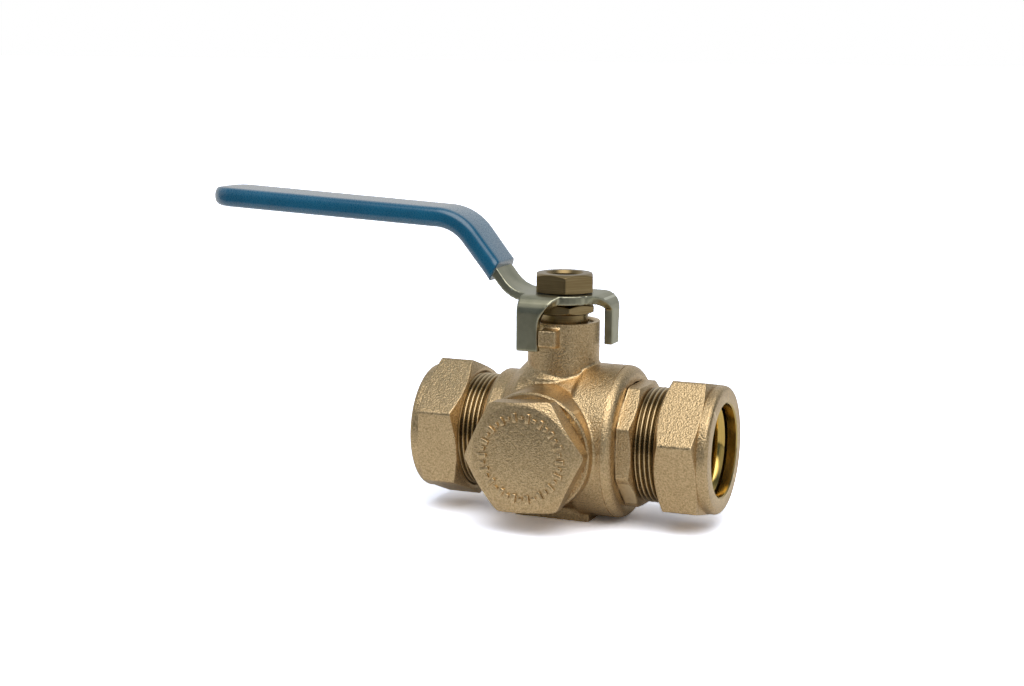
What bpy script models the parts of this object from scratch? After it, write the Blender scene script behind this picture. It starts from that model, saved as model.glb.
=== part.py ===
"""Lever ball valve with two compression ends and a capped filter port, as separate parts.

Units are metres and +Z is up. The origin is the centre of the foot's flat underside, on the stem's axis.
+X is the pipe's axis towards the end adapter, and -Y faces the filter cap. Every turning axis passes
through the ball's centre, so shapes are drawn around that point and then parented to an empty on it.
"""

import math

import bmesh
import bpy
from mathutils import Matrix

MM = 0.001

# Clearances
FIT_GAP = 0.3 * MM
THREAD_GAP = 0.3 * MM
BALL_GAP = 0.25 * MM
MERGE = 1e-7

# Facets of a full turn
ROUND = 40
BALL_ROUND = 32
SMALL_ROUND = 24

# Tube and compression joint
TUBE_R = 14.0 * MM
SOCKET_PLAY = 0.15 * MM
TUBE_INSERTION = 23.0 * MM
THREAD_WALL = 3.25 * MM
VISIBLE_THREAD = 7.1 * MM
THREAD_ENGAGED = 8.1 * MM
CONE_DEPTH = 3.1 * MM
CONE_SPREAD = 1.85 * MM

# Compression nut
NUT_WALL = 2.2 * MM
NUT_LENGTH = 16.3 * MM
NUT_LAND = 3.0 * MM
NUT_INNER_CHAMFER = 1.9 * MM
NUT_COLLAR = 3.2 * MM
NUT_COLLAR_SLOPE = 1.0 * MM
NUT_EDGE = 1.5 * MM
RIGHT_NUT_TURN = math.radians(11.6)
LEFT_NUT_TURN = math.radians(21.3)

# Ball and waterway
BALL_R = 17.2 * MM
BALL_BORE_R = 10.4 * MM
PORT_R = 12.5 * MM
SEAT_STEP = 1.1 * MM
SEAT_BORE_LIP = 0.6 * MM
SEAT_BACK = 0.6 * MM
SEAT_LENGTH = 5.6 * MM
CAVITY_GAP = 0.4 * MM

# Body
BODY_WALL = 4.6 * MM
BODY_END_WALL = 4.7 * MM
BODY_END_REACH = 6.6 * MM
BODY_END_ROUND = 3.2 * MM
BODY_STEP = 0.2 * MM
COLLAR_LENGTH = 6.0 * MM
COLLAR_BACKING = 3.4 * MM
COLLAR_SIDE = 2.3 * MM
COLLAR_WALL = 3.3 * MM
COLLAR_CHAMFER = 1.6 * MM
COLLAR_SLOPE = 4.1 * MM
ADAPTER_WALL = 2.1 * MM
ADAPTER_PAST_SEAT = 1.2 * MM
BODY_SEAL_THICK = 0.7 * MM

# Foot
FOOT_CLEAR = 0.8 * MM
FOOT_LENGTH = 24.0 * MM
FOOT_WIDTH = 18.0 * MM
FOOT_TAPER = 0.6 * MM

# Spanner section of the end adapter
SPANNER_SIDE = 1.0 * MM
SPANNER_LENGTH = 4.7 * MM

# Neck, stem and gland
NECK_WALL = 2.2 * MM
NECK_LENGTH = 14.0 * MM
NECK_FLARE = 0.8 * MM
NECK_WEB_SHIFT = 2.3 * MM
STEM_R = 6.0 * MM
STEM_SHOULDER = 2.0 * MM
STEM_CLEAR = 0.5 * MM
STEM_SHOULDER_RISE = 3.9 * MM
WASHER_THICK = 0.7 * MM
TANG_WIDTH = 4.8 * MM
TANG_LENGTH = 12.0 * MM
SLOT_DEPTH = 3.8 * MM
PACKING_STEP = 2.9 * MM
PACKING_DROP = 8.5 * MM
PACKING_HEIGHT = 3.6 * MM
GLAND_SIDE = 1.1 * MM
GLAND_HEX_HEIGHT = 3.2 * MM
GLAND_RISE = 2.2 * MM
GLAND_NECK_WALL = 1.4 * MM
GLAND_TURN = math.radians(-29.0)

# Stop lug on the neck
LUG_HALF_WIDTH = 2.9 * MM
LUG_PROUD = 3.9 * MM
LUG_HEIGHT = 5.2 * MM
LUG_DROP = 1.4 * MM
LUG_ROUND = 0.8 * MM

# Lever
PLATE_THICK = 2.7 * MM
PLATE_RISE = 0.5 * MM
PLATE_R = 11.5 * MM
PLATE_BACK = 10.7 * MM
STOP_PLAY = 0.4 * MM
STOP_CLEAR = 0.8 * MM
STOP_BEND = 3.6 * MM
FLAP_WIDTH = 6.8 * MM
FLAP_FILLET = 4.0 * MM
FLAP_BELOW_LUG = 1.6 * MM
HOOK_WIDTH = 6.4 * MM
HOOK_BELOW_LUG = 0.9 * MM
ARM_START = 15.0 * MM
ARM_RISE = 22.9 * MM
ARM_ANGLE = math.radians(51.2)
GRIP_ANGLE = math.radians(2.6)
LEVER_REACH = 122.4 * MM
LOWER_BEND = 11.0 * MM
UPPER_BEND = 15.0 * MM
ARM_HALF_WIDTH = 6.0 * MM
GRIP_HALF_WIDTH = 7.8 * MM
STEEL_TIP_ROUND = 5.0 * MM

# Grip sleeve
SLEEVE_START = 21.6 * MM
SLEEVE_WALL = 1.4 * MM
SLEEVE_SIDE = 1.2 * MM
SLEEVE_TIP = 2.1 * MM
SLEEVE_TIP_ROUND = 7.0 * MM

# Lever nut
LEVER_NUT_WALL = 3.9 * MM
LEVER_NUT_HEIGHT = 5.75 * MM
LEVER_NUT_TURN = math.radians(-21.3)
STEM_THREAD_STEP = 1.3 * MM
STEM_FLAT_CUT = 1.0 * MM
STEM_BELOW_NUT = 1.6 * MM

# Front port and filter cap
BOSS_WALL = 3.3 * MM
BOSS_REACH = 9.8 * MM
BOSS_CHAMFER = 0.7 * MM
CAP_THREAD_R = 15.0 * MM
CAP_SPIGOT = 7.8 * MM
CAP_SIDE = 1.6 * MM
CAP_HEX_HEIGHT = 7.0 * MM
CAP_FLANGE = 0.6 * MM
CAP_FLANGE_STEP = 0.2 * MM
CAP_WALL = 3.0 * MM
CAP_CEILING = 3.4 * MM
CAP_TURN = math.radians(-4.0)
CAP_FACE_CHAMFER = 2.0 * MM
CAP_FACE_EDGE = 1.0 * MM
CAP_SEAL_WIRE = 0.8 * MM
FRONT_PORT_STEP = 2.4 * MM

# Filter in the ball's bore
FILTER_STEP_X = 5.0 * MM
FILTER_POCKET_STEP = 0.9 * MM
FILTER_RING_LENGTH = 2.7 * MM
FILTER_RING_WALL = 1.4 * MM
SCREEN_WALL = 0.5 * MM
SCREEN_DEPTH = 14.0 * MM
CLIP_THICK = 1.0 * MM
CLIP_RADIAL = 1.5 * MM
CLIP_MOUTH = math.radians(50)
CLIP_GROOVE = 0.8 * MM

# Places that follow from the sizes above
SOCKET_R = TUBE_R + SOCKET_PLAY
THREAD_R = SOCKET_R + THREAD_WALL
NUT_FLATS = 2 * (THREAD_R + NUT_WALL)
SPANNER_FLATS = 2 * (THREAD_R + SPANNER_SIDE)
SEAT_OUTER_R = BALL_R - SEAT_STEP
SEAT_INNER_R = PORT_R - SEAT_BORE_LIP
SEAT_BACK_X = BALL_R - SEAT_BACK
SEAT_LIP_X = SEAT_BACK_X - SEAT_LENGTH
SEAT_POCKET_R = SEAT_OUTER_R + FIT_GAP
SEAT_FLOOR_X = SEAT_BACK_X + FIT_GAP
CAVITY_R = BALL_R + CAVITY_GAP
ADAPTER_THREAD_R = SEAT_POCKET_R + ADAPTER_WALL
ADAPTER_BORE_R = ADAPTER_THREAD_R + THREAD_GAP
SEAL_SPACE = BODY_SEAL_THICK + 2 * FIT_GAP
STEM_SHOULDER_R = STEM_R + STEM_SHOULDER
BODY_SHOULDER_X = max(SEAT_LIP_X - ADAPTER_PAST_SEAT - SEAL_SPACE, STEM_SHOULDER_R + STEM_CLEAR)
ADAPTER_IN_X = BODY_SHOULDER_X + SEAL_SPACE
BODY_R = ADAPTER_BORE_R + BODY_END_WALL
BODY_END_X = SEAT_FLOOR_X + BODY_END_REACH
CENTRE_R = CAVITY_R + BODY_WALL
BODY_STEP_X = ADAPTER_IN_X - BODY_STEP
COLLAR_X = SEAT_FLOOR_X + COLLAR_BACKING
COLLAR_R = max(THREAD_R + COLLAR_SIDE, SEAT_POCKET_R + COLLAR_WALL)
COLLAR_SHOULDER_X = COLLAR_X - COLLAR_LENGTH
FOOT_DEPTH = max(BODY_R, NUT_FLATS / math.sqrt(3)) + FOOT_CLEAR
SPANNER_X = BODY_END_X + FIT_GAP
RIGHT_ROOT = SPANNER_X + SPANNER_LENGTH
STEM_SHOULDER_TOP = BALL_R + STEM_SHOULDER_RISE
STEM_THREAD_R = STEM_R - STEM_THREAD_STEP
STEM_FLATS = 2 * (STEM_THREAD_R - STEM_FLAT_CUT)
SLOT_FLOOR = BALL_R - SLOT_DEPTH
TANG_BOTTOM = SLOT_FLOOR + FIT_GAP
PACKING_R = STEM_R + PACKING_STEP
NECK_R = PACKING_R + NECK_WALL
GLAND_NECK_R = STEM_R + GLAND_NECK_WALL
GLAND_FLATS = 2 * (GLAND_NECK_R + GLAND_SIDE)
WASHER_BOTTOM = STEM_SHOULDER_TOP + FIT_GAP
NECK_FLOOR = WASHER_BOTTOM + WASHER_THICK + FIT_GAP
NECK_TOP = NECK_FLOOR + NECK_LENGTH
PACKING_BOTTOM = NECK_TOP - PACKING_DROP
GLAND_BOTTOM = PACKING_BOTTOM + PACKING_HEIGHT + FIT_GAP
GLAND_HEX_BOTTOM = NECK_TOP + GLAND_RISE
GLAND_TOP = GLAND_HEX_BOTTOM + GLAND_HEX_HEIGHT
PLATE_BOTTOM = GLAND_TOP + PLATE_RISE
PLATE_TOP = PLATE_BOTTOM + PLATE_THICK
PLATE_MIDDLE = PLATE_BOTTOM + PLATE_THICK / 2
LUG_REACH = NECK_R + LUG_PROUD
LUG_TOP = NECK_TOP - LUG_DROP
LUG_BOTTOM = LUG_TOP - LUG_HEIGHT
STOP_MIDDLE = NECK_R + STOP_CLEAR + PLATE_THICK / 2
STOP_EDGE = LUG_HALF_WIDTH + STOP_PLAY
LEVER_NUT_FLATS = 2 * (STEM_THREAD_R + LEVER_NUT_WALL)
NUT_SEAT = PLATE_TOP + FIT_GAP
STEM_TOP = NUT_SEAT + LEVER_NUT_HEIGHT - STEM_BELOW_NUT
BOSS_R = CAP_THREAD_R + BOSS_WALL
BOSS_FACE = BALL_R + BOSS_REACH
FRONT_PORT_R = CAP_THREAD_R - FRONT_PORT_STEP
CAP_FLATS = 2 * (CAP_THREAD_R + CAP_SIDE)
CAP_FLANGE_R = CAP_FLATS / 2 - CAP_FLANGE_STEP
CAP_FACE_R = CAP_FLATS / 2 - CAP_FACE_EDGE
CAP_HOLLOW_R = CAP_THREAD_R - CAP_WALL
CAP_BACK = BOSS_FACE + FIT_GAP
CAP_HEX_BACK = CAP_BACK + CAP_FLANGE
CAP_FACE = CAP_HEX_BACK + CAP_HEX_HEIGHT
SEAL_GROOVE_WIDTH = 2 * CAP_SEAL_WIRE + FIT_GAP
FILTER_POCKET_R = BALL_BORE_R + FILTER_POCKET_STEP
CLIP_X = FILTER_STEP_X + FILTER_RING_LENGTH + 2.5 * FIT_GAP

AXIS_TURN = {
    "X": Matrix.Identity(4),
    "Z": Matrix.Rotation(-math.pi / 2, 4, "Y"),
    "-Y": Matrix.Rotation(-math.pi / 2, 4, "Z"),
}

# Finish: colour, roughness, metallic
FINISHES = {
    "forged_brass": ((0.56, 0.42, 0.24), 0.42, 1.0),
    "turned_brass": ((0.50, 0.36, 0.19), 0.28, 1.0),
    "zinc_steel": ((0.58, 0.58, 0.50), 0.35, 1.0),
    "blue_pvc": ((0.02, 0.13, 0.30), 0.25, 0.0),
    "ptfe": ((0.88, 0.88, 0.85), 0.50, 0.0),
    "chromed_brass": ((0.80, 0.80, 0.82), 0.12, 1.0),
    "rubber": ((0.03, 0.03, 0.03), 0.60, 0.0),
    "stainless": ((0.66, 0.66, 0.66), 0.30, 1.0),
}


def clear_scene():
    for obj in list(bpy.data.objects):
        bpy.data.objects.remove(obj, do_unlink=True)


def finish(name):
    """The material of this name, made once."""
    if name in bpy.data.materials:
        return bpy.data.materials[name]
    colour, roughness, metallic = FINISHES[name]
    material = bpy.data.materials.new(name)
    material.use_nodes = True
    shader = material.node_tree.nodes["Principled BSDF"]
    shader.inputs["Base Color"].default_value = (*colour, 1.0)
    shader.inputs["Roughness"].default_value = roughness
    shader.inputs["Metallic"].default_value = metallic
    return material


def axis_empty(name):
    """An empty on the ball's centre, for the pieces that turn or slide about an axis through it."""
    empty = bpy.data.objects.new(name, None)
    empty.location = (0, 0, FOOT_DEPTH)
    bpy.context.scene.collection.objects.link(empty)
    return empty


def solid(name, bm):
    """The object of a closed bmesh, faces outwards, round sides smooth."""
    bmesh.ops.recalc_face_normals(bm, faces=bm.faces)
    mesh = bpy.data.meshes.new(name)
    bm.to_mesh(mesh)
    bm.free()
    mesh.shade_smooth()
    mesh.set_sharp_from_angle(angle=math.radians(30))
    obj = bpy.data.objects.new(name, mesh)
    bpy.context.scene.collection.objects.link(obj)
    return obj


def turned(name, outline, axis="X", steps=ROUND):
    """A turned solid. The outline's (along, radius) points close on themselves, or start and end on the axis."""
    bm = bmesh.new()
    verts = [bm.verts.new((along, radius, 0)) for along, radius in outline]
    edges = [bm.edges.new(pair) for pair in zip(verts, verts[1:])]
    if outline[0][1] > 0:
        edges.append(bm.edges.new((verts[-1], verts[0])))
    bmesh.ops.spin(
        bm,
        geom=verts + edges,
        cent=(0, 0, 0),
        axis=(1, 0, 0),
        dvec=(0, 0, 0),
        angle=2 * math.pi,
        steps=steps,
    )
    bmesh.ops.remove_doubles(bm, verts=bm.verts, dist=MERGE)
    bm.transform(AXIS_TURN[axis])
    return solid(name, bm)


def prism(name, corners, low, high, axis="X"):
    """A prism from low to high along an axis, over corners in the plane across it."""
    bm = bmesh.new()
    base = bm.faces.new([bm.verts.new((low, a, b)) for a, b in corners])
    grown = bmesh.ops.extrude_face_region(bm, geom=[base])
    top = [item for item in grown["geom"] if isinstance(item, bmesh.types.BMVert)]
    bmesh.ops.translate(bm, verts=top, vec=(high - low, 0, 0))
    bm.transform(AXIS_TURN[axis])
    return solid(name, bm)


def lofted(name, rings):
    """A solid through closed rings of points, with flat ends."""
    bm = bmesh.new()
    loops = [[bm.verts.new(point) for point in ring] for ring in rings]
    for low, high in zip(loops, loops[1:]):
        for i in range(len(low)):
            j = (i + 1) % len(low)
            bm.faces.new((low[i], low[j], high[j], high[i]))
    bm.faces.new(loops[0][::-1])
    bm.faces.new(loops[-1])
    return solid(name, bm)


def box(name, low, high):
    (x0, y0, z0), (x1, y1, z1) = low, high
    return prism(name, [(y0, z0), (y1, z0), (y1, z1), (y0, z1)], x0, x1)


def polygon(sides, flats, turn=0.0):
    """Corners of a regular polygon, the first one at the turn angle, which grows from -Y towards +Z."""
    radius = flats / 2 / math.cos(math.pi / sides)
    angles = [turn + 2 * math.pi * i / sides for i in range(sides)]
    return [(-radius * math.cos(a), radius * math.sin(a)) for a in angles]


def corner_radius(sides, flats):
    return flats / 2 / math.cos(math.pi / sides)


def arc(centre, radius, start, end, steps):
    """Points (along, radius) of an arc about a centre, between two angles in degrees."""
    points = []
    for i in range(steps + 1):
        a = math.radians(start + (end - start) * i / steps)
        points.append((centre[0] + radius * math.cos(a), centre[1] + radius * math.sin(a)))
    return points


def combine(obj, operation, tool):
    """Joins, cuts or trims a solid with another, which stays as a hidden guide."""
    modifier = obj.modifiers.new(tool.name, "BOOLEAN")
    modifier.operation = operation
    modifier.solver = "EXACT"
    modifier.object = tool
    tool.hide_render = True
    tool.display_type = "WIRE"
    tool.parent = obj
    return obj


def place(obj, parent, material):
    obj.parent = parent
    obj.data.materials.clear()
    obj.data.materials.append(finish(material))
    return obj


def end_places(root):
    """Distances from the ball's centre along one compression end, whose male thread starts at root."""
    nut_in = root + VISIBLE_THREAD
    nut_out = nut_in + NUT_LENGTH
    return {
        "root": root,
        "nut_in": nut_in,
        "nut_out": nut_out,
        "thread_end": nut_in + THREAD_ENGAGED,
        "stop": nut_out - TUBE_INSERTION,
    }


def male_end(places):
    """Outer outline of a male compression thread, from its root to the mouth's edge."""
    end = places["thread_end"]
    return [
        (places["root"], THREAD_R),
        (end - 1.0 * MM, THREAD_R),
        (end, THREAD_R - 0.9 * MM),
        (end, SOCKET_R + CONE_SPREAD),
    ]


def socket(places):
    """Inner outline of a compression end, from its mouth in to the tube stop and the port."""
    end = places["thread_end"]
    return [
        (end, SOCKET_R + CONE_SPREAD),
        (end - CONE_DEPTH, SOCKET_R),
        (places["stop"], SOCKET_R),
        (places["stop"], PORT_R),
    ]


def mirrored(outline):
    return [(-along, radius) for along, radius in outline]


def body_barrel():
    """Outside of the body along the pipe: threaded end, collar, round centre and adapter end."""
    left = end_places(COLLAR_X)
    outline = [(-left["thread_end"], 0)]
    outline += mirrored(male_end(left))[::-1]
    outline += [(-COLLAR_X, COLLAR_R - COLLAR_CHAMFER), (-COLLAR_X + COLLAR_CHAMFER, COLLAR_R)]
    outline.append((-COLLAR_SHOULDER_X, COLLAR_R))
    outline.append((-COLLAR_SHOULDER_X + COLLAR_SLOPE, CENTRE_R))
    outline.append((BODY_STEP_X - (BODY_R - CENTRE_R), CENTRE_R))
    outline.append((BODY_STEP_X, BODY_R))
    corner = (BODY_END_X - BODY_END_ROUND, BODY_R - BODY_END_ROUND)
    outline += arc(corner, BODY_END_ROUND, 90, 0, 5)
    outline.append((BODY_END_X, 0))
    return turned("body_barrel", outline)


def waterway_cutter():
    """Everything hollow along the pipe inside the body."""
    left = end_places(COLLAR_X)
    cone = CONE_SPREAD / CONE_DEPTH
    pocket_x = 8.0 * MM
    ball_side = 2.5 * MM
    outline = [
        (BODY_END_X + MM, 0),
        (BODY_END_X + MM, ADAPTER_BORE_R),
        (BODY_SHOULDER_X, ADAPTER_BORE_R),
        (BODY_SHOULDER_X, CAVITY_R),
        (-ball_side, CAVITY_R),
        (-pocket_x, SEAT_POCKET_R),
        (-SEAT_FLOOR_X, SEAT_POCKET_R),
        (-SEAT_FLOOR_X, PORT_R),
    ]
    outline += mirrored(socket(left))[::-1]
    outline += [
        (-left["thread_end"] - MM, SOCKET_R + CONE_SPREAD + cone * MM),
        (-left["thread_end"] - MM, 0),
    ]
    return turned("waterway_cutter", outline)


def neck():
    """Neck of the stem, with a short flare where it meets the body."""
    foot = CENTRE_R - 4.0 * MM
    flare_top = CENTRE_R - 1.2 * MM
    outline = [
        (foot - 6.0 * MM, 0),
        (foot - 6.0 * MM, NECK_R + NECK_FLARE),
        (foot, NECK_R + NECK_FLARE),
        (flare_top, NECK_R),
        (NECK_TOP - 0.4 * MM, NECK_R),
        (NECK_TOP, NECK_R - 0.4 * MM),
        (NECK_TOP, 0),
    ]
    return turned("neck", outline, "Z")


def neck_web():
    """Slope between the neck and the left collar."""
    top = COLLAR_R + 3.6 * MM
    radius = COLLAR_SHOULDER_X - NECK_WEB_SHIFT + 0.3 * MM
    outline = [
        (COLLAR_R - 8.0 * MM, 0),
        (COLLAR_R - 8.0 * MM, radius),
        (COLLAR_R, radius),
        (top, radius - 3.4 * MM),
        (top, 0),
    ]
    web = turned("neck_web", outline, "Z", SMALL_ROUND)
    web.data.transform(Matrix.Translation((-NECK_WEB_SHIFT, 0, 0)))
    return web


def stop_lug():
    lug = box(
        "stop_lug",
        (-LUG_HALF_WIDTH, -LUG_REACH, LUG_BOTTOM),
        (LUG_HALF_WIDTH, -NECK_R + 2.2 * MM, LUG_TOP),
    )
    bevel = lug.modifiers.new("corners", "BEVEL")
    bevel.width = LUG_ROUND
    bevel.segments = 2
    return lug


def foot():
    """Foot pad with a flat underside, a little wider at its top."""
    rings = []
    for z, grow in ((-FOOT_DEPTH, 0.0), (-FOOT_DEPTH + 7.0 * MM, FOOT_TAPER)):
        x = FOOT_LENGTH / 2 + grow
        y = FOOT_WIDTH / 2 + grow
        rings.append([(-x, -y, z), (x, -y, z), (x, y, z), (-x, y, z)])
    return lofted("foot", rings)


def front_boss():
    outline = [
        (6.0 * MM, 0),
        (6.0 * MM, BOSS_R),
        (BOSS_FACE - BOSS_CHAMFER, BOSS_R),
        (BOSS_FACE, BOSS_R - BOSS_CHAMFER),
        (BOSS_FACE, 0),
    ]
    return turned("front_boss", outline, "-Y")


def front_port_cutter():
    """Threaded front port, its seal recess, and the way through to the ball."""
    thread = CAP_THREAD_R + THREAD_GAP
    recess = thread + 0.5 * MM
    floor = CAP_BACK - CAP_SPIGOT - FIT_GAP
    outline = [
        (0, 0),
        (0, FRONT_PORT_R),
        (floor, FRONT_PORT_R),
        (floor, thread),
        (BOSS_FACE - SEAL_GROOVE_WIDTH - FIT_GAP, thread),
        (BOSS_FACE - SEAL_GROOVE_WIDTH - FIT_GAP, recess),
        (BOSS_FACE + MM, recess),
        (BOSS_FACE + MM, 0),
    ]
    return turned("front_port_cutter", outline, "-Y")


def stem_bore_cutter():
    """Stem bore with the thrust pocket below and the packing pocket above."""
    outline = [
        (0, 0),
        (0, STEM_SHOULDER_R + FIT_GAP),
        (NECK_FLOOR, STEM_SHOULDER_R + FIT_GAP),
        (NECK_FLOOR, STEM_R + FIT_GAP),
        (PACKING_BOTTOM - FIT_GAP, STEM_R + FIT_GAP),
        (PACKING_BOTTOM - FIT_GAP, PACKING_R + FIT_GAP),
        (NECK_TOP + MM, PACKING_R + FIT_GAP),
        (NECK_TOP + MM, 0),
    ]
    return turned("stem_bore_cutter", outline, "Z", SMALL_ROUND)


def valve_body():
    body = body_barrel()
    body.name = "valve_body"
    for piece in (neck(), neck_web(), stop_lug(), front_boss(), foot()):
        combine(body, "UNION", piece)
    for cutter in (waterway_cutter(), stem_bore_cutter(), front_port_cutter()):
        combine(body, "DIFFERENCE", cutter)
    return body


def end_adapter():
    """Screwed end with its spanner section, male thread, tube socket and seat pocket."""
    right = end_places(RIGHT_ROOT)
    widest = corner_radius(8, SPANNER_FLATS)
    outline = [
        (ADAPTER_IN_X, SEAT_POCKET_R),
        (ADAPTER_IN_X, ADAPTER_THREAD_R),
        (BODY_END_X - 0.6 * MM, ADAPTER_THREAD_R),
        (BODY_END_X, ADAPTER_THREAD_R - 0.4 * MM),
        (SPANNER_X, ADAPTER_THREAD_R - 0.4 * MM),
        (SPANNER_X, widest + MM),
        (RIGHT_ROOT - 1.5 * MM, widest + MM),
        (RIGHT_ROOT, SPANNER_FLATS / 2 - 0.5 * MM),
    ]
    outline += male_end(right)
    outline += socket(right)[1:]
    outline += [(SEAT_FLOOR_X, PORT_R), (SEAT_FLOOR_X, SEAT_POCKET_R)]
    adapter = turned("end_adapter", outline)
    spanner = prism(
        "adapter_flats",
        polygon(8, SPANNER_FLATS, math.radians(22.5)),
        BODY_END_X,
        RIGHT_ROOT + MM,
    )
    sleeve_outline = [
        (ADAPTER_IN_X - MM, 0),
        (ADAPTER_IN_X - MM, ADAPTER_THREAD_R + MM),
        (SPANNER_X - FIT_GAP / 2, ADAPTER_THREAD_R + MM),
        (SPANNER_X - FIT_GAP / 2, THREAD_R + MM / 2),
        (right["thread_end"] + MM, THREAD_R + MM / 2),
        (right["thread_end"] + MM, 0),
    ]
    keep = turned("adapter_keep", sleeve_outline)
    combine(keep, "UNION", spanner)
    spanner.parent = keep
    return combine(adapter, "INTERSECT", keep)


def compression_nut(name, side, root, turn):
    """Hexagonal nut with a round collar, its thread, its inner cone and the land that guides the tube."""
    places = end_places(root)
    low = places["nut_in"]
    high = places["nut_out"]
    widest = corner_radius(6, NUT_FLATS)
    collar = NUT_FLATS / 2 - 0.15 * MM
    thread = THREAD_R + THREAD_GAP
    cone_end = high - NUT_LAND
    cone_start = cone_end - 2.3 * MM
    outline = [
        (low, thread + 0.5 * MM),
        (low, collar - 0.3 * MM),
        (low + NUT_INNER_CHAMFER, widest + 0.05 * MM),
        (high - NUT_COLLAR - NUT_COLLAR_SLOPE, widest + 0.05 * MM),
        (high - NUT_COLLAR, collar),
    ]
    outline += arc((high - NUT_EDGE, collar - NUT_EDGE), NUT_EDGE, 90, 0, 3)
    outline += [
        (high, SOCKET_R + 0.3 * MM),
        (high - 0.3 * MM, SOCKET_R),
        (cone_end, SOCKET_R),
        (cone_start, SOCKET_R + 2.3 * MM),
        (cone_start - 0.5 * MM, SOCKET_R + 2.3 * MM),
        (cone_start - 0.5 * MM, thread),
        (low + 0.5 * MM, thread),
    ]
    nut = turned(name, [(side * along, radius) for along, radius in outline])
    ends = sorted((side * (low - MM), side * (high + MM)))
    return combine(nut, "INTERSECT", prism(name + "_flats", polygon(6, NUT_FLATS, turn), *ends))


def olive(name, side, root):
    """Compression ring: a barrel with a plain bore and a taper at each end."""
    places = end_places(root)
    start = places["thread_end"] - 1.6 * MM
    end = places["nut_out"] - NUT_LAND - 0.9 * MM
    thickest = SOCKET_R + CONE_SPREAD - 0.15 * MM
    outline = [
        (start, SOCKET_R),
        (start, SOCKET_R + 0.45 * MM),
        (places["thread_end"] + 0.9 * MM, thickest),
        (end - 2.0 * MM, thickest),
        (end, SOCKET_R + 0.5 * MM),
        (end, SOCKET_R),
    ]
    return turned(name, [(side * along, radius) for along, radius in outline], steps=SMALL_ROUND)


def seat(name, side):
    """PTFE seat whose inner face follows the ball."""
    curve = BALL_R + BALL_GAP
    lip = math.degrees(math.acos(SEAT_LIP_X / curve))
    inner = math.degrees(math.asin(SEAT_INNER_R / curve))
    outline = [
        (SEAT_BACK_X, SEAT_INNER_R),
        (SEAT_BACK_X, SEAT_OUTER_R),
        (SEAT_LIP_X, SEAT_OUTER_R),
    ]
    outline += arc((0, 0), curve, lip, inner, 2)
    return turned(name, [(side * along, radius) for along, radius in outline], steps=BALL_ROUND)


def body_seal():
    low = BODY_SHOULDER_X + FIT_GAP
    outline = [
        (low, CAVITY_R + 0.1 * MM),
        (low, ADAPTER_BORE_R - 0.2 * MM),
        (low + BODY_SEAL_THICK, ADAPTER_BORE_R - 0.2 * MM),
        (low + BODY_SEAL_THICK, CAVITY_R + 0.1 * MM),
    ]
    return turned("body_seal", outline, steps=BALL_ROUND)


def ball():
    """Ball with its bore, the filter's pocket at the +X end, the clip's groove and the stem's slot."""
    pocket_edge = math.degrees(math.asin(FILTER_POCKET_R / BALL_R))
    bore_edge = math.degrees(math.asin(BALL_BORE_R / BALL_R))
    groove_in = CLIP_X - FIT_GAP / 2
    groove_out = CLIP_X + CLIP_THICK + FIT_GAP / 2
    outline = arc((0, 0), BALL_R, 180 - bore_edge, pocket_edge, 10)
    outline += [
        (groove_out, FILTER_POCKET_R),
        (groove_out, FILTER_POCKET_R + CLIP_GROOVE),
        (groove_in, FILTER_POCKET_R + CLIP_GROOVE),
        (groove_in, FILTER_POCKET_R),
        (FILTER_STEP_X, FILTER_POCKET_R),
        (FILTER_STEP_X, BALL_BORE_R),
    ]
    half = TANG_WIDTH / 2 + FIT_GAP
    slot = box("ball_slot", (-half, -BALL_R, SLOT_FLOOR), (half, BALL_R, BALL_R + MM))
    return combine(turned("ball", outline, steps=BALL_ROUND), "DIFFERENCE", slot)


def filter_ring():
    """Frame ring that rests on the step in the ball's bore."""
    low = FILTER_STEP_X + FIT_GAP
    outer = FILTER_POCKET_R - FIT_GAP
    outline = [
        (low, outer - FILTER_RING_WALL),
        (low, outer),
        (low + FILTER_RING_LENGTH, outer),
        (low + FILTER_RING_LENGTH, outer - FILTER_RING_WALL),
    ]
    return turned("filter_ring", outline, steps=BALL_ROUND)


def filter_screen():
    """Cup of the strainer, open towards the ring and closed at its far end."""
    outer = FILTER_POCKET_R - 2 * FIT_GAP - FILTER_RING_WALL
    mouth = FILTER_STEP_X + FILTER_RING_LENGTH
    bottom = mouth - SCREEN_DEPTH
    outline = [
        (bottom, 0),
        (bottom, outer - MM),
        (bottom + MM, outer),
        (mouth, outer),
        (mouth, outer - SCREEN_WALL),
        (bottom + MM, outer - SCREEN_WALL),
        (bottom + SCREEN_WALL, outer - MM - SCREEN_WALL / 2),
        (bottom + SCREEN_WALL, 0),
    ]
    return turned("filter_screen", outline, steps=BALL_ROUND)


def filter_clip():
    """Spring clip in the ball's groove: a flat ring with a mouth at its lowest point."""
    outer = FILTER_POCKET_R + CLIP_GROOVE - FIT_GAP
    inner = outer - CLIP_RADIAL
    steps = 24
    start = -math.pi / 2 + CLIP_MOUTH / 2
    sweep = 2 * math.pi - CLIP_MOUTH
    angles = [start + sweep * i / steps for i in range(steps + 1)]
    corners = [(outer * math.cos(a), outer * math.sin(a)) for a in angles]
    corners += [(inner * math.cos(a), inner * math.sin(a)) for a in reversed(angles)]
    return prism("filter_clip", corners, CLIP_X, CLIP_X + CLIP_THICK)


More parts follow.
